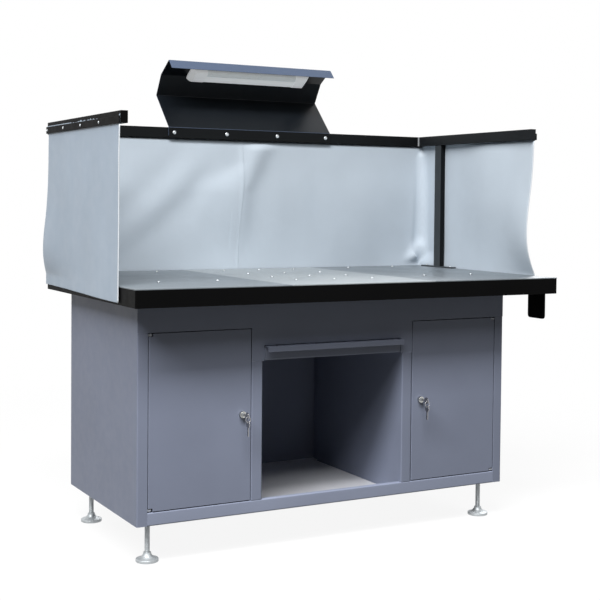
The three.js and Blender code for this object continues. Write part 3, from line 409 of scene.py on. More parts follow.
def dress(node, material, edge, second=None, where=None):
    """The node's own shape with its sharp edges rounded and a finish on it.

    Faces for which where(face) is true get the second finish.
    """
    source = frame["nodes"][node]
    bm = bmesh.new()
    bm.from_mesh(source.data)
    bmesh.ops.remove_doubles(bm, verts=bm.verts, dist=SAME_POINT)
    bmesh.ops.dissolve_limit(bm, angle_limit=FLAT_ANGLE, verts=bm.verts, edges=bm.edges)
    if second:
        bm.normal_update()
        for face in bm.faces:
            face.material_index = int(where(face))
    materials = [material, second] if second else [material]
    piece = new_piece(f"{node}_dressed", mesh_from(bm, node), materials, source["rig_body"])
    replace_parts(piece, node)
    return soften(piece, edge)


SIDES = ("left", "right")
CORNERS = ("front_left", "front_right", "back_left", "back_right")

# Rounding of edges, in millimetres
PLAIN_EDGE = 0.5
DOOR_EDGE = 0.9
TUBE_EDGE = 0.7
THIN_EDGE = 0.4
SMALL_EDGE = 0.3
KEY_EDGE = 0.25
LOCK_EDGE = 0.6
COVER_EDGE = 0.6
LAMP_EDGE = 1.2

# Which faces get a second finish, by their normals
FACING = 0.9
LEVEL = 0.5
LAMP_UNDERSIDE = 0.82
HEART_IN = 52.0 * MM        # a point inside the hood, from its front and above its middle
HEART_UP = 30.0 * MM
hood_low, hood_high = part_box("lamp_hood")
hood_heart = Vector((0, hood_low.y + HEART_IN, (hood_low.z + hood_high.z) / 2 + HEART_UP))
pan_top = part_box("left_partition")[0].z


def faces_lamp(face):
    inward = hood_heart - face.calc_center_median()
    return inward.dot(face.normal) > 0 and abs(face.normal.x) < LEVEL


def faces_front(face):
    return face.normal.y < -FACING


def faces_down(face):
    return face.normal.z < -LAMP_UNDERSIDE


def is_pan_floor(face):
    return face.normal.z > FACING and face.calc_center_median().z < pan_top + MM


# base pan: the paler rail paint is painted light from below, and its floor finish has painted light
# further in
dress("base_pan", painted_lit_rail, PLAIN_EDGE, pan_floor, is_pan_floor)
# the hood's inside faces get near-black paint: painted shade for the deep shade under the hood
dress("lamp_hood", hood_paint, THIN_EDGE, hood_inside_painted_shade, faces_lamp)
for node in ("back_panel", "fascia", "drawer_front", "drawer_box"):
    dress(node, paint, PLAIN_EDGE)
for side in SIDES:
    for piece in ("side_panel", "partition"):
        dress(f"{side}_{piece}", paint, PLAIN_EDGE)
    dress(f"{side}_door", paint, DOOR_EDGE)
    # the left rail gets a darker black than the right one: painted shade against the light that
    # falls on it from the left
    dress(f"{side}_rail", black if side == "left" else frame_black, TUBE_EDGE)
    # the posts' front faces get the darker rail_black instead of post_black: painted shade on the
    # side turned away from the light
    dress(f"{side}_post", post_black, TUBE_EDGE, rail_black, faces_front)
    dress(f"{side}_batten", black, TUBE_EDGE)
    dress(f"{side}_top_plate", plate, PLAIN_EDGE)
    dress(f"{side}_top_bearer", plate, PLAIN_EDGE)
    dress(f"{side}_drawer_runner", zinc, THIN_EDGE)
    for level in ("upper", "lower"):
        dress(f"{side}_{level}_hinge_eye", hinge_paint, SMALL_EDGE)
        dress(f"{side}_{level}_hinge_pivot", hinge_paint, SMALL_EDGE)
    dress(f"{side}_lock_body", nickel, LOCK_EDGE)
    dress(f"{side}_lock_cam", zinc, SMALL_EDGE)
    for piece in ("key", "key_ring", "spare_key"):
        dress(f"{side}_{piece}", key_steel, KEY_EDGE)
dress("top_rim", black, TUBE_EDGE)
dress("centre_top_plate", pale_plate, PLAIN_EDGE)
dress("side_hanger_plate", black, TUBE_EDGE)
dress("back_batten", frame_black, TUBE_EDGE)
dress("back_rail", rail_black, TUBE_EDGE)
dress("hood_clamp_bar", rail_black, TUBE_EDGE)
dress("lamp_body", lamp_white, LAMP_EDGE)
# the diffuser's downward faces glow more: painted light from below
dress("lamp_diffuser", lamp_cover, COVER_EDGE, lamp_cover_painted_light, faces_down)
for corner in CORNERS:
    dress(f"{corner}_foot_pad", foot_zinc, PLAIN_EDGE)


# Threaded stems of the feet
THREAD_PITCH = 2.0 * MM
THREAD_DEPTH = 1.1 * MM
THREAD_ROWS = 4
THREAD_SIDES = 28


def threaded_stem(node):
    low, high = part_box(node)
    middle = (low + high) / 2
    radius = (high.x - low.x) / 2
    tall = high.z - low.z
    rows = round(tall / THREAD_PITCH * THREAD_ROWS)
    rings = []
    for row in range(rows + 1):
        ring = []
        end_taper = min(1.0, row / THREAD_ROWS, (rows - row) / THREAD_ROWS)
        for side in range(THREAD_SIDES):
            phase = (row / THREAD_ROWS + side / THREAD_SIDES) % 1
            groove = abs(2 * phase - 1) * end_taper + (1 - end_taper)
            reach = radius - THREAD_DEPTH * groove
            angle = 2 * math.pi * side / THREAD_SIDES
            ring.append((middle.x + reach * math.cos(angle), middle.y + reach * math.sin(angle),
                         low.z + tall * row / rows))
        rings.append(ring)
    bm = bmesh.new()
    skin(bm, rings)
    body = frame["nodes"][node]["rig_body"]
    piece = new_piece(f"{node}_thread", mesh_from(bm, node), [foot_zinc], body)
    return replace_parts(piece, node)


for corner in CORNERS:
    threaded_stem(f"{corner}_foot_stem")


# Screws: round heads with a hexagon socket
SCREW_SIDES = 24
SOCKET_SHARE = 0.42         # of the head's radius
SOCKET_FLOOR = 0.3          # of the head's height
HEAD_PROFILE = ((1.0, 0.0), (1.0, 0.35), (0.88, 0.75), (0.62, 0.97), (0.5, 1.0))


def screw_head(bm, place, normal, radius, height):
    turn = Vector(normal).to_track_quat("Z", "Y").to_matrix()
    rings = []
    for share, level in HEAD_PROFILE + ((SOCKET_SHARE, 1.0), (SOCKET_SHARE, SOCKET_FLOOR)):
        ring = []
        for side in range(SCREW_SIDES):
            angle = 2 * math.pi * side / SCREW_SIDES
            reach = radius * share
            if share == SOCKET_SHARE:
                reach *= math.cos(math.pi / 6) / math.cos(angle % (math.pi / 3) - math.pi / 6)
            point = Vector((reach * math.cos(angle), reach * math.sin(angle), height * level))
            ring.append(Vector(place) + turn @ point)
        rings.append(ring)
    skin(bm, rings)


def screws(name, places, normal, head):
    """A row of screws of one size; head is its radius and height in millimetres."""
    radius, height = head
    bm = bmesh.new()
    for place in places:
        screw_head(bm, place, normal, radius * MM, height * MM)
    piece = new_piece(name, mesh_from(bm, name), [zinc], "bench")
    piece.modifiers.new("normals", "WEIGHTED_NORMAL")
    return piece


BATTEN_HEAD = (4.2, 2.2)
HOOD_HEAD = (7.0, 3.0)
PLATE_HEAD = (5.5, 3.4)
POST_HEAD = (5.0, 3.0)
BATTEN_SCREWS = 4
BATTEN_SCREW_FIRST = 0.297
BATTEN_SCREW_PITCH = 0.1735
BACK_SCREWS = 7
BACK_SCREW_PITCH = 0.19
HOOD_SCREWS = 4
HOOD_SCREW_PITCH = 0.203
batten_mid = (BATTEN_LOW + BATTEN_HIGH) / 2
batten_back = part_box("back_batten")[1].y
bar_low, bar_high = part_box("hood_clamp_bar")
bar_mid = (bar_low.z + bar_high.z) / 2


def centred(count, pitch):
    return [pitch * (i - (count - 1) / 2) for i in range(count)]


for side, sign in zip(SIDES, (-1, 1)):
    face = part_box(f"{side}_batten")[0 if sign < 0 else 1].x
    first = FRONT + BATTEN_SCREW_FIRST
    screws(f"{side}_batten_screws",
           [(face, first + BATTEN_SCREW_PITCH * i, batten_mid) for i in range(BATTEN_SCREWS)],
           (sign, 0, 0), BATTEN_HEAD)
screws("back_batten_screws",
       [(x, batten_back, batten_mid) for x in centred(BACK_SCREWS, BACK_SCREW_PITCH)],
       (0, 1, 0), BATTEN_HEAD)
screws("hood_screws",
       [(x, bar_low.y, bar_mid) for x in centred(HOOD_SCREWS, HOOD_SCREW_PITCH)],
       (0, -1, 0), HOOD_HEAD)

SIDE_SCREW_X = (0.385, 0.580)
SIDE_SCREW_Y = (0.255, 0.760)
CENTRE_SCREW_X = (-0.140, 0.0, 0.140)
CENTRE_SCREW_Y = (0.197, 0.364, 0.543, 0.740)
for side, sign in zip(SIDES, (-1, 1)):
    screws(f"{side}_plate_screws",
           [(sign * x, FRONT + y, TOP) for x in SIDE_SCREW_X for y in SIDE_SCREW_Y],
           (0, 0, 1), PLATE_HEAD)
screws("centre_plate_screws",
       [(x, FRONT + y, TOP) for x in CENTRE_SCREW_X for y in CENTRE_SCREW_Y],
       (0, 0, 1), PLATE_HEAD)

POST_SCREW_INSET = 0.022
POST_FOOT_TOP = 0.0043
for side in SIDES:
    low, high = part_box(f"{side}_post")
    screws(f"{side}_post_screws",
           [((low.x + high.x) / 2, y, TOP + POST_FOOT_TOP)
            for y in (low.y + POST_SCREW_INSET, high.y - POST_SCREW_INSET)],
           (0, 0, 1), POST_HEAD)


# Weld beads in the inside corners of the screen's frame
BEAD_LEG = 4.5 * MM
BEAD_ROWS = 26
BEAD_RIPPLE = 0.12
BEAD_TURN = 2.1             # of the ripple, in radians from row to row
BEAD_ARC = ((1.0, 0.0), (0.62, 0.16), (0.36, 0.36), (0.16, 0.62), (0.0, 1.0))


def weld_bead(name, corner, low, high, turn_x):
    """A fillet up an inside corner, rippled as it was laid; turn_x is the side that it fills."""
    rows = []
    for step in range(BEAD_ROWS + 1):
        leg = BEAD_LEG * (1 + BEAD_RIPPLE * math.sin(step * BEAD_TURN))
        z = low + (high - low) * step / BEAD_ROWS
        arc = [(corner.x + turn_x * leg * a, corner.y - leg * b, z) for a, b in BEAD_ARC]
        rows.append([(corner.x, corner.y, z)] + arc)
    bm = bmesh.new()
    skin(bm, rows)
    return new_piece(name, mesh_from(bm, name), [weld], "bench")


rail_low, rail_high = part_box("back_rail")
for side, sign in zip(SIDES, (-1, 1)):
    weld_bead(f"{side}_corner_weld", Vector((sign * rail_high.x, rail_low.y, 0)),
              rail_low.z, rail_high.z, -sign)


# Sealing strip over the seam between the base pan and the back panel
SEAL_HIGH = 9.0 * MM
SEAL_THICK = 1.0 * MM
SEAL_GAP = 0.1 * MM
SEAL_DROP = 1.0 * MM
SEAL_ARC = ((0.0, 0.0), (0.6, 0.12), (1.0, 0.35), (1.0, 0.65), (0.6, 0.88), (0.0, 1.0))


def back_seal():
    low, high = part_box("base_pan")
    face, foot = high.y + SEAL_GAP, low.z - SEAL_DROP
    ends = [[(x, face + SEAL_THICK * out, foot + SEAL_HIGH * up) for out, up in SEAL_ARC]
            for x in (low.x, high.x)]
    bm = bmesh.new()
    skin(bm, ends)
    mesh = mesh_from(bm, "back_seam_seal")
    new_piece("back_seam_seal", mesh, [paint], "bench")


back_seal()


# Hanging cloth, in millimetres until the points are made
CLOTH_GAP = 0.3             # between the cloth's solid and what it hangs on
SOLID_THICK = 1.5
CLOTH_THICK = 0.5
CLOTH_SETBACK = 2.0
CLOTH_HEM_LIFT = 10.0
CLOTH_SEAM = -37.0
CLOTH_LAP = 40.0
LAP_CLEAR = 0.15
LAP_NEAR = 1.5
LAP_FAR = 5.0
CLOTH_SLACK = 3.0
BULGE = 12.0
BULGE_REACH = 170.0
BULGE_END = 0.93
BULGE_POWER = 3.2
SIDE_BULGE = 15.0
SIDE_BULGE_REACH = 170.0
SIDE_BULGE_END = 0.9
SIDE_BULGE_POWER = 0.85
FOLD = 6.5
FOLD_SLOPE = 0.6
FOLD_FALL = 310.0
FOLD_START = -22.0
FOLD_WIDE = 38.0
FOLD_SPREAD = 1.4
FOLD_FADE = 4               # the power by which it dies out towards the hem
SECOND_FOLD = 0.45
SECOND_FOLD_SHIFT = 3.0
RIPPLE = 2.5
RIPPLE_PITCH = 60.0
CURL = 30.0
CURL_REACH = 110.0
CURL_END = 0.9
CURL_POWER = 2.3
CORNER_TIGHT = 0.9
CORNER_SLACK = 34.0
CORNER_RISE = (0.0, 0.08)
CORNER_FALL = (0.79, 0.90)
CORNER_SWING = 24.0
CORNER_SWING_REACH = 110.0
PLEAT = 12.0
PLEAT_START = 82.0
PLEAT_END = 0.36
PLEAT_WIDE = 54.0
PLEAT_NARROWS = 30.0
PLEAT_NARROWEST = 42.0
PLEAT_RISE = (0.0, 0.07)
PLEAT_FALL = (0.34, 0.84)
PLEAT_LEAN = 2.0            # how much wider it gets on the seam's side as it nears the seam
PLEAT_LEANS = (0.15, 0.4)
SAG = 9.0
SAG_ASIDE = 230.0           # from the corner
SAG_REACH = 190.0
SAG_END = 0.9
SAG_POWER = 1.7
KNEE = 17.0
KNEE_TOP = 0.76
KNEE_LEAN = 300.0
KNEE_WIDE = 27.0
KNEE_RISE = (0.65, 0.77)
KNEE_FALL = (0.83, 0.90)
UNDER_RAIL = 16.0
UNDER_RAIL_START = 0.010
UNDER_RAIL_FADE = (0.30, 0.88)
SIDE_SWING = 8.0
SIDE_SWING_FADE = (0.40, 0.85)
SIDE_SWING_CLEAR = (5.0, 230.0)    # how far in front of the post it ends
SEAM_SWAY = 8.0
SWAY_AT = 0.25
SWAY_REACH = 0.2
SWAY_BACK = 0.45
EDGE_FLARE = 1.2
EDGE_FLARE_REACH = 12.0
EDGE_FLARE_RISE = (0.0, 0.1)
WRINKLE = 1.4
WRINKLE_ALONG = 95.0
WRINKLE_ACROSS = 210.0
WRINKLE_DOWN = 2.2
WRINKLE_RISE = (0.02, 0.2)
LEFT_WRINKLES = 3.1         # where in the noise each cloth's wrinkles lie
RIGHT_WRINKLES = 7.7
RAW_HIDDEN = -1.5           # the raw top edge, over the batten's top
RAW_EVEN = 4.5
RAW_CORNER = 8.0
RAW_CORNER_END = 0.022
FRAY_LIFT = 3.0
FRAY_SCALE = 1.4
FRAY_START = (0.24, 0.30)
FRAY_END = (0.60, 0.66)
FRAY_WAVES = ((3.2, 41.0, (0.4, 2.9)), (2.6, 97.0, (4.1, 0.3)))    # height, waves, noise's place
HEM_START = 0.006
HEM_OUT = 1.1
HEM_IN = 2.0
HEM_THICK = 3.4
HEM_WIDE = 5.6
HEM_STEPS = 70
HEM_SIDES = 12
STITCH_INSET = 10.0
STITCH_LONG = 5.0
STITCH_PITCH = 7.5
STITCH_THICK = 0.5
STITCH_WIDE = 0.9
STITCH_SIDES = 8
STITCH_PROFILE = ((0.0, 0.3), (0.15, 0.85), (0.5, 1.0), (0.85, 0.85), (1.0, 0.3))
SIDE_STEPS = 90
CORNER_STEPS = 10
BACK_STEPS = 110
CLAMP_STEPS = 3
RAIL_STEPS = 5
DROP_STEPS = 76


def bell(distance, width):
    return math.exp(-((distance / width) ** 2))


def swell(w, end, power):
    return math.sin(math.pi * min(w / end, 1) ** power)


def smooth(value, low, high):
    share = min(max((value - low) / (high - low), 0.0), 1.0)
    return share * share * (3 - 2 * share)


def steps(low, high, count):
    return [low + (high - low) * i / count for i in range(count + 1)]


def clear_of_lap(x, lap):
    return smooth(abs(x - lap), LAP_NEAR * CLOTH_LAP, LAP_FAR * CLOTH_LAP)


back_mm = BACK / MM
half_mm = HALF_LONG / MM
cloth_front = RAIL_FRONT / MM + CLOTH_SETBACK
post_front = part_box("right_post")[0].y / MM


def wrinkles(x, y, w, seed):
    """Small soft creases that run down and across, none where the batten clamps the cloth."""
    spot = Vector(((x + y) / WRINKLE_ALONG, (x - y) / WRINKLE_ACROSS + w * WRINKLE_DOWN, seed))
    return WRINKLE * noise.noise(spot) * smooth(w, *WRINKLE_RISE)


def left_billow(x, y, nx, ny, w):
    corner_gap = math.hypot(x + half_mm, y - back_mm)
    bulge = BULGE * bell(corner_gap, BULGE_REACH) * swell(w, BULGE_END, BULGE_POWER)
    slant = ny * ((x - CLOTH_SEAM) * FOLD_SLOPE + w * FOLD_FALL - FOLD_START) / FOLD_WIDE
    clear = clear_of_lap(x, CLOTH_SEAM)
    second = slant + SECOND_FOLD_SHIFT
    crease = slant * bell(slant, FOLD_SPREAD) + SECOND_FOLD * second * bell(second, FOLD_SPREAD)
    fold = FOLD * crease * swell(w, 1, 1) * clear
    by_seam = smooth(x, CLOTH_SEAM - EDGE_FLARE_REACH, CLOTH_SEAM)
    flare = EDGE_FLARE * ny * by_seam * smooth(w, *EDGE_FLARE_RISE)
    loose = bulge + fold * (1 - w ** FOLD_FADE) - flare - pleat(x - CLOTH_SEAM, ny, w)
    return CLOTH_SLACK * w + loose + wrinkles(x, y, w, LEFT_WRINKLES) * clear


def right_billow(x, y, nx, ny, w):
    curl = nx * CURL * bell(y - cloth_front, CURL_REACH) * swell(w, CURL_END, CURL_POWER)
    aside = y - (cloth_front + post_front) / 2
    fullness = swell(w, SIDE_BULGE_END, SIDE_BULGE_POWER)
    bulge = nx * SIDE_BULGE * bell(aside, SIDE_BULGE_REACH) * fullness
    clear = clear_of_lap(x, -CLOTH_SEAM)
    wave = RIPPLE * ny * math.sin((x + half_mm) / RIPPLE_PITCH) * clear * swell(w, 1, 1)
    swing = -nx * CORNER_SWING * bell(y - back_mm, CORNER_SWING_REACH) * corner_slack(w) * w
    sag = ny * SAG * bell(x + half_mm - SAG_ASIDE, SAG_REACH) * swell(w, SAG_END, SAG_POWER)
    inward = pleat(-CLOTH_SEAM - x, ny, w) + knee(x, ny, w) + sag
    loose = curl + bulge + wave + swing + side_swing(y, nx, w) - inward
    return CLOTH_SLACK * w + loose + wrinkles(x, y, w, RIGHT_WRINKLES) * clear


def corner_slack(w):
    return smooth(w, *CORNER_RISE) * (1 - smooth(w, *CORNER_FALL))


def pleat(beside, ny, w):
    """A pleat from under the rail, right of the seam, down into it, standing into the bench."""
    crest = PLEAT_START * max(1 - w / PLEAT_END, 0.0)
    wide = max(PLEAT_WIDE - PLEAT_NARROWS * w, PLEAT_NARROWEST)
    if beside < crest:
        wide *= 1 + PLEAT_LEAN * smooth(w, *PLEAT_LEANS)
    held = smooth(w, *PLEAT_RISE) * (1 - smooth(w, *PLEAT_FALL))
    return PLEAT * ny * bell(beside - crest, wide) * held


def knee(x, ny, w):
    """The lower end of the corner's roll, bent in over the back."""
    aside = x + half_mm - (w - KNEE_TOP) * KNEE_LEAN
    held = smooth(w, *KNEE_RISE) * (1 - smooth(w, *KNEE_FALL))
    return KNEE * ny * bell(aside, KNEE_WIDE) * held


def under_rail(w):
    """How far the back swings in under the rail that it hangs behind."""
    return UNDER_RAIL * smooth(w, 0.0, UNDER_RAIL_START) * (1 - smooth(w, *UNDER_RAIL_FADE))


def side_swing(y, nx, w):
    """How far the right side swings in under its rail, from the front up to the post."""
    held = smooth(w, 0.0, UNDER_RAIL_START) * (1 - smooth(w, *SIDE_SWING_FADE))
    return SIDE_SWING * nx * held * smooth(post_front - y, *SIDE_SWING_CLEAR)


def left_corner(w):
    return CORNER_TIGHT


def right_corner(w):
    return CORNER_TIGHT + CORNER_SLACK * corner_slack(w)


def even_edge(run, share):
    return CLOTH_HIGH


def ragged_edge(run, share):
    """The raw top edge: a corner at the front, then hidden, frayed, and even at the back."""
    if run > 0:
        return CLOTH_HIGH
    frayed = sum(height * noise.noise(Vector((share * waves, *spot)))
                 for height, waves, spot in FRAY_WAVES)
    even = smooth(share, *FRAY_END)
    fray = (FRAY_LIFT + FRAY_SCALE * frayed) * smooth(share, *FRAY_START) * (1 - even)
    corner = 1 - smooth(share, 0.0, RAW_CORNER_END)
    proud = RAW_HIDDEN + RAW_EVEN * even + fray + RAW_CORNER * corner
    return BATTEN_HIGH + proud * MM


Hang = namedtuple("Hang", "back_gap end_x hem_lift corner billow sway raw_edge")


def cloth_point(run, share, w, hang, lift=0.0):
    """A point of a left-hand cloth: run 0 is its side, 1 its corner and 2 its back.

    The drop w is 0 at the batten's lower edge, 1 at the hem and -1 at the raw top edge.
    """
    drop = max(w, 0.0)
    corner = hang.corner(drop)
    end_x = hang.end_x + hang.sway * (bell(drop - SWAY_AT, SWAY_REACH) - SWAY_BACK * drop)
    edge_x = -half_mm - CLOTH_GAP
    edge_y = back_mm + hang.back_gap - under_rail(drop)
    if run == 0:
        x, y, nx, ny = edge_x, cloth_front + (edge_y - corner - cloth_front) * share, -1.0, 0.0
    elif run == 1:
        angle = math.pi - math.pi / 2 * share
        nx, ny = math.cos(angle), math.sin(angle)
        x, y = edge_x + corner + corner * nx, edge_y - corner + corner * ny
    else:
        x, y, nx, ny = edge_x + corner + (end_x - edge_x - corner) * share, edge_y, 0.0, 1.0
    out = hang.billow(x, y, nx, ny, drop) + SOLID_THICK / 2 + lift
    if w < 0:
        z = BATTEN_LOW - (hang.raw_edge(run, share) - BATTEN_LOW) * w
    else:
        hem = CLOTH_LOW + hang.hem_lift * MM * smooth(y, cloth_front, back_mm)
        z = BATTEN_LOW + (hem - BATTEN_LOW) * w
    return Vector(((x + nx * out) * MM, (y + ny * out) * MM, z))


def on_side(point, mirror):
    return Vector((-point.x, point.y, point.z)) if mirror else point


def ellipse(heart, thick, wide, sides, mirror):
    """A level ring of points round heart, thick along x and wide along y, in millimetres."""
    ring = []
    for side in range(sides):
        angle = 2 * math.pi * side / sides
        out = Vector((thick * math.cos(angle), wide * math.sin(angle), 0)) * MM / 2
        ring.append(on_side(heart + out, mirror))
    return ring


def cloth_grid(name, stations, drops, hang, mirror, thick, materials):
    """A sheet through the stations along the cloth and the drops down it."""
    bm = bmesh.new()
    rows = []
    for w in drops:
        points = [cloth_point(run, share, w, hang) for run, share in stations]
        rows.append([bm.verts.new(on_side(point, mirror)) for point in points])
    for upper, lower in zip(rows, rows[1:]):
        for i in range(len(stations) - 1):
            face = (upper[i], upper[i + 1], lower[i + 1], lower[i])
            bm.faces.new(reversed(face) if mirror else face)
    piece = new_piece(name, mesh_from(bm, name, closed=False), materials, "bench")
    solid = piece.modifiers.new("thickness", "SOLIDIFY")
    solid.thickness = thick * MM
    solid.offset = 0
    solid.material_offset = 1
    piece.modifiers.new("normals", "WEIGHTED_NORMAL")
    return piece


def hem_roll(name, hang, mirror):
    """The rolled and stitched hem down the cloth's front edge."""
    rings = []
    for w in steps(HEM_START, 1, HEM_STEPS):
        heart = cloth_point(0, 0, w, hang) + Vector((-HEM_OUT, HEM_IN, 0)) * MM
        rings.append(ellipse(heart, HEM_THICK, HEM_WIDE, HEM_SIDES, mirror))
    bm = bmesh.new()
    skin(bm, rings)
    return new_piece(name, mesh_from(bm, name), [binding], "bench")


def stitches(name, hang, mirror):
    """The row of stitches that holds the rolled hem, on both faces of the cloth."""
    bm = bmesh.new()
    drop = (BATTEN_LOW - CLOTH_LOW) / MM
    inset = STITCH_INSET / SIDE_RUN
    lift = (CLOTH_THICK + STITCH_THICK) / 2
    for i in range(1, int(drop / STITCH_PITCH)):
        for face in (-1, 1):
            rings = []
            for share, thick in STITCH_PROFILE:
                w = (i * STITCH_PITCH + share * STITCH_LONG) / drop
                heart = cloth_point(0, inset, w, hang, face * lift)
                rings.append(ellipse(heart, STITCH_THICK * thick, STITCH_WIDE * thick,
                                     STITCH_SIDES, mirror))
            skin(bm, rings)
    return new_piece(name, mesh_from(bm, name), [binding], "bench")


ALL_STATIONS = ([(0, share) for share in steps(0, 1, SIDE_STEPS)][:-1]
                + [(1, share) for share in steps(0, 1, CORNER_STEPS)][:-1]
                + [(2, share) for share in steps(0, 1, BACK_STEPS)])
ALL_DROPS = (steps(-1, 0, CLAMP_STEPS)[:-1]
             + steps(0, UNDER_RAIL_START, RAIL_STEPS)[:-1]
             + steps(UNDER_RAIL_START, 1, DROP_STEPS))
LEFT_HANG = Hang(back_gap=CLOTH_GAP, end_x=CLOTH_SEAM, hem_lift=CLOTH_HEM_LIFT,
                 corner=left_corner, billow=left_billow, sway=SEAM_SWAY, raw_edge=ragged_edge)
RIGHT_HANG = Hang(back_gap=CLOTH_GAP + CLOTH_THICK + LAP_CLEAR, end_x=-CLOTH_SEAM + CLOTH_LAP,
                  hem_lift=0.0, corner=right_corner, billow=right_billow, sway=0.0,
                  raw_edge=even_edge)
SIDE_RUN = back_mm - cloth_front

for side, hang in zip(SIDES, (LEFT_HANG, RIGHT_HANG)):
    mirror = side == "right"
    sheet = cloth_grid(f"{side}_cloth_sheet", ALL_STATIONS, ALL_DROPS, hang, mirror,
                       CLOTH_THICK, [cloth_outside_shade, cloth])
    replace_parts(sheet, f"{side}_cloth")
    hem = hem_roll(f"{side}_cloth_hem", hang, mirror)
    thread = stitches(f"{side}_cloth_stitches", hang, mirror)


# Floor, light and camera
FLOOR_HALF = 6.0
FLOOR_CLEAR = 0.91          # how much of the white, or of a lowered foot, is seen through it
FLOOR_WHITE = 0.075         # the part of it that the lamps light, and that the bench shades
FLOOR_BOUNCE = 0.16         # what the floor gives back to the bench
FLOOR_WARMTH = 0.12         # how much blue it keeps back from that
FADE_START = 1.4
FADE_END = 3.2
WORLD_LIGHT = 0.079
WORLD_COLOUR = (1.0, 0.97, 0.86, 1)
FAR_CLIP = 50

# Lamps: place, what it points at, size in metres, watts
LAMPS = {
    "key": ((-3.5, -2.66, 5.5), (-3.5, -2.66, 0), (6.0, 1.2), 710),
    "front_light": ((-3.5, -3.9, 5.5), (-3.5, -3.9, 0), (6.0, 3.0), 380),
    "back_fill": ((2.6, 2.6, 3.2), (0, 0, 0.8), (2.4, 2.4), 110),
}


def seen_by_eye(tree):
    """1 for rays from the camera, reflections and clear glass, 0 for light that falls on things."""
    path = tree.nodes.new("ShaderNodeLightPath")
    first = tree.nodes.new("ShaderNodeMath")
    first.operation = "MAXIMUM"
    second = tree.nodes.new("ShaderNodeMath")
    second.operation = "MAXIMUM"
    tree.links.new(path.outputs["Is Camera Ray"], first.inputs[0])
    tree.links.new(path.outputs["Is Glossy Ray"], first.inputs[1])
    tree.links.new(first.outputs["Value"], second.inputs[0])
    tree.links.new(path.outputs["Is Transmission Ray"], second.inputs[1])
    return second.outputs["Value"]


def pale_floor():
    """Clear to the eye but for the bench's soft shadow, and dull for the light it sends back."""
    mesh = bpy.data.meshes.new("floor")
    corners = [(-FLOOR_HALF, -FLOOR_HALF, 0), (FLOOR_HALF, -FLOOR_HALF, 0),
               (FLOOR_HALF, FLOOR_HALF, 0), (-FLOOR_HALF, FLOOR_HALF, 0)]
    mesh.from_pydata(corners, [], [(0, 1, 2, 3)])
    floor = bpy.data.objects.new("floor", mesh)
    bpy.context.scene.collection.objects.link(floor)
    material = bpy.data.materials.new("floor")
    material.use_nodes = True
    tree = material.node_tree
    tree.nodes.remove(tree.nodes["Principled BSDF"])

    def shader(kind, level, warmth=0.0):
        made = tree.nodes.new(kind)
        green, blue = level * (1 - warmth / 4), level * (1 - warmth)
        made.inputs["Color"].default_value = (level, green, blue, 1)
        return made.outputs["BSDF"]

    def mixed(share, first, second):
        made = tree.nodes.new("ShaderNodeMixShader")
        tree.links.new(share, made.inputs["Fac"])
        tree.links.new(first, made.inputs[1])
        tree.links.new(second, made.inputs[2])
        return made.outputs["Shader"]

    glass = shader("ShaderNodeBsdfTransparent", FLOOR_CLEAR)
    shaded = shader("ShaderNodeBsdfDiffuse", FLOOR_WHITE)
    bounce = shader("ShaderNodeBsdfDiffuse", FLOOR_BOUNCE, FLOOR_WARMTH)
    clear = shader("ShaderNodeBsdfTransparent", 1.0)
    seen = tree.nodes.new("ShaderNodeAddShader")
    tree.links.new(glass, seen.inputs[0])
    tree.links.new(shaded, seen.inputs[1])
    place = tree.nodes.new("ShaderNodeTexCoord").outputs["Object"]
    spread = tree.nodes.new("ShaderNodeVectorMath")
    spread.operation = "LENGTH"
    tree.links.new(place, spread.inputs[0])
    fade = tree.nodes.new("ShaderNodeMapRange")
    fade.inputs["From Min"].default_value = FADE_START
    fade.inputs["From Max"].default_value = FADE_END
    tree.links.new(spread.outputs["Value"], fade.inputs["Value"])
    lit = mixed(seen_by_eye(tree), bounce, seen.outputs["Shader"])
    whole = mixed(fade.outputs["Result"], lit, clear)
    tree.links.new(whole, tree.nodes["Material Output"].inputs["Surface"])
    mesh.materials.append(material)


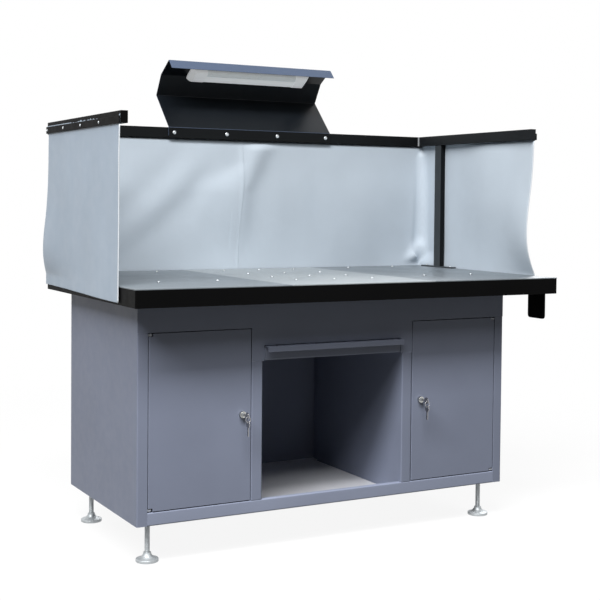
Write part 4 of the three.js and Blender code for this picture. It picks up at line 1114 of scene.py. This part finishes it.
def white_world():
    """Plain white to the eye, and a weak warm light on the bench."""
    world = bpy.data.worlds.new("studio")
    bpy.context.scene.world = world
    world.use_nodes = True
    nodes, links = world.node_tree.nodes, world.node_tree.links
    lit = nodes["Background"]
    lit.inputs["Color"].default_value = WORLD_COLOUR
    lit.inputs["Strength"].default_value = WORLD_LIGHT
    seen = nodes.new("ShaderNodeBackground")
    seen.inputs["Color"].default_value = (1, 1, 1, 1)
    seen.inputs["Strength"].default_value = 1.0
    mix = nodes.new("ShaderNodeMixShader")
    links.new(seen_by_eye(world.node_tree), mix.inputs["Fac"])
    links.new(lit.outputs["Background"], mix.inputs[1])
    links.new(seen.outputs["Background"], mix.inputs[2])
    links.new(mix.outputs["Shader"], nodes["World Output"].inputs["Surface"])


def soft_box(name, place, target, size, watts):
    data = bpy.data.lights.new(name, "AREA")
    data.shape = "RECTANGLE"
    data.size, data.size_y = size
    data.energy = watts
    lamp = bpy.data.objects.new(name, data)
    bpy.context.scene.collection.objects.link(lamp)
    lamp.location = place
    lamp.rotation_euler = (Vector(target) - Vector(place)).to_track_quat("-Z", "Y").to_euler()


def photo_camera():
    data = bpy.data.cameras.new("photo")
    data.sensor_fit = "HORIZONTAL"
    data.sensor_width = SENSOR_MM
    data.lens = FOCAL_PIXELS / IMAGE_PIXELS * SENSOR_MM
    data.shift_x = (IMAGE_PIXELS / 2 - AXIS_PIXEL[0]) / IMAGE_PIXELS
    data.shift_y = (AXIS_PIXEL[1] - IMAGE_PIXELS / 2) / IMAGE_PIXELS
    data.clip_end = FAR_CLIP
    camera = bpy.data.objects.new("photo", data)
    bpy.context.scene.collection.objects.link(camera)
    forward = Vector((math.sin(CAMERA_YAW) * math.cos(CAMERA_PITCH),
                      math.cos(CAMERA_YAW) * math.cos(CAMERA_PITCH), -math.sin(CAMERA_PITCH)))
    level = Vector((math.cos(CAMERA_YAW), -math.sin(CAMERA_YAW), 0))
    down = forward.cross(level)
    right = math.cos(CAMERA_ROLL) * level + math.sin(CAMERA_ROLL) * down
    up = math.sin(CAMERA_ROLL) * level - math.cos(CAMERA_ROLL) * down
    turn = Matrix((right, up, -forward)).transposed()
    place = CAMERA_PLACE + Vector((0, FRONT, 0))
    camera.matrix_world = Matrix.Translation(place) @ turn.to_4x4()
    bpy.context.scene.camera = camera


pale_floor()
white_world()
for name, setting in LAMPS.items():
    soft_box(name, *setting)
photo_camera()
bpy.context.scene.view_settings.view_transform = "Standard"
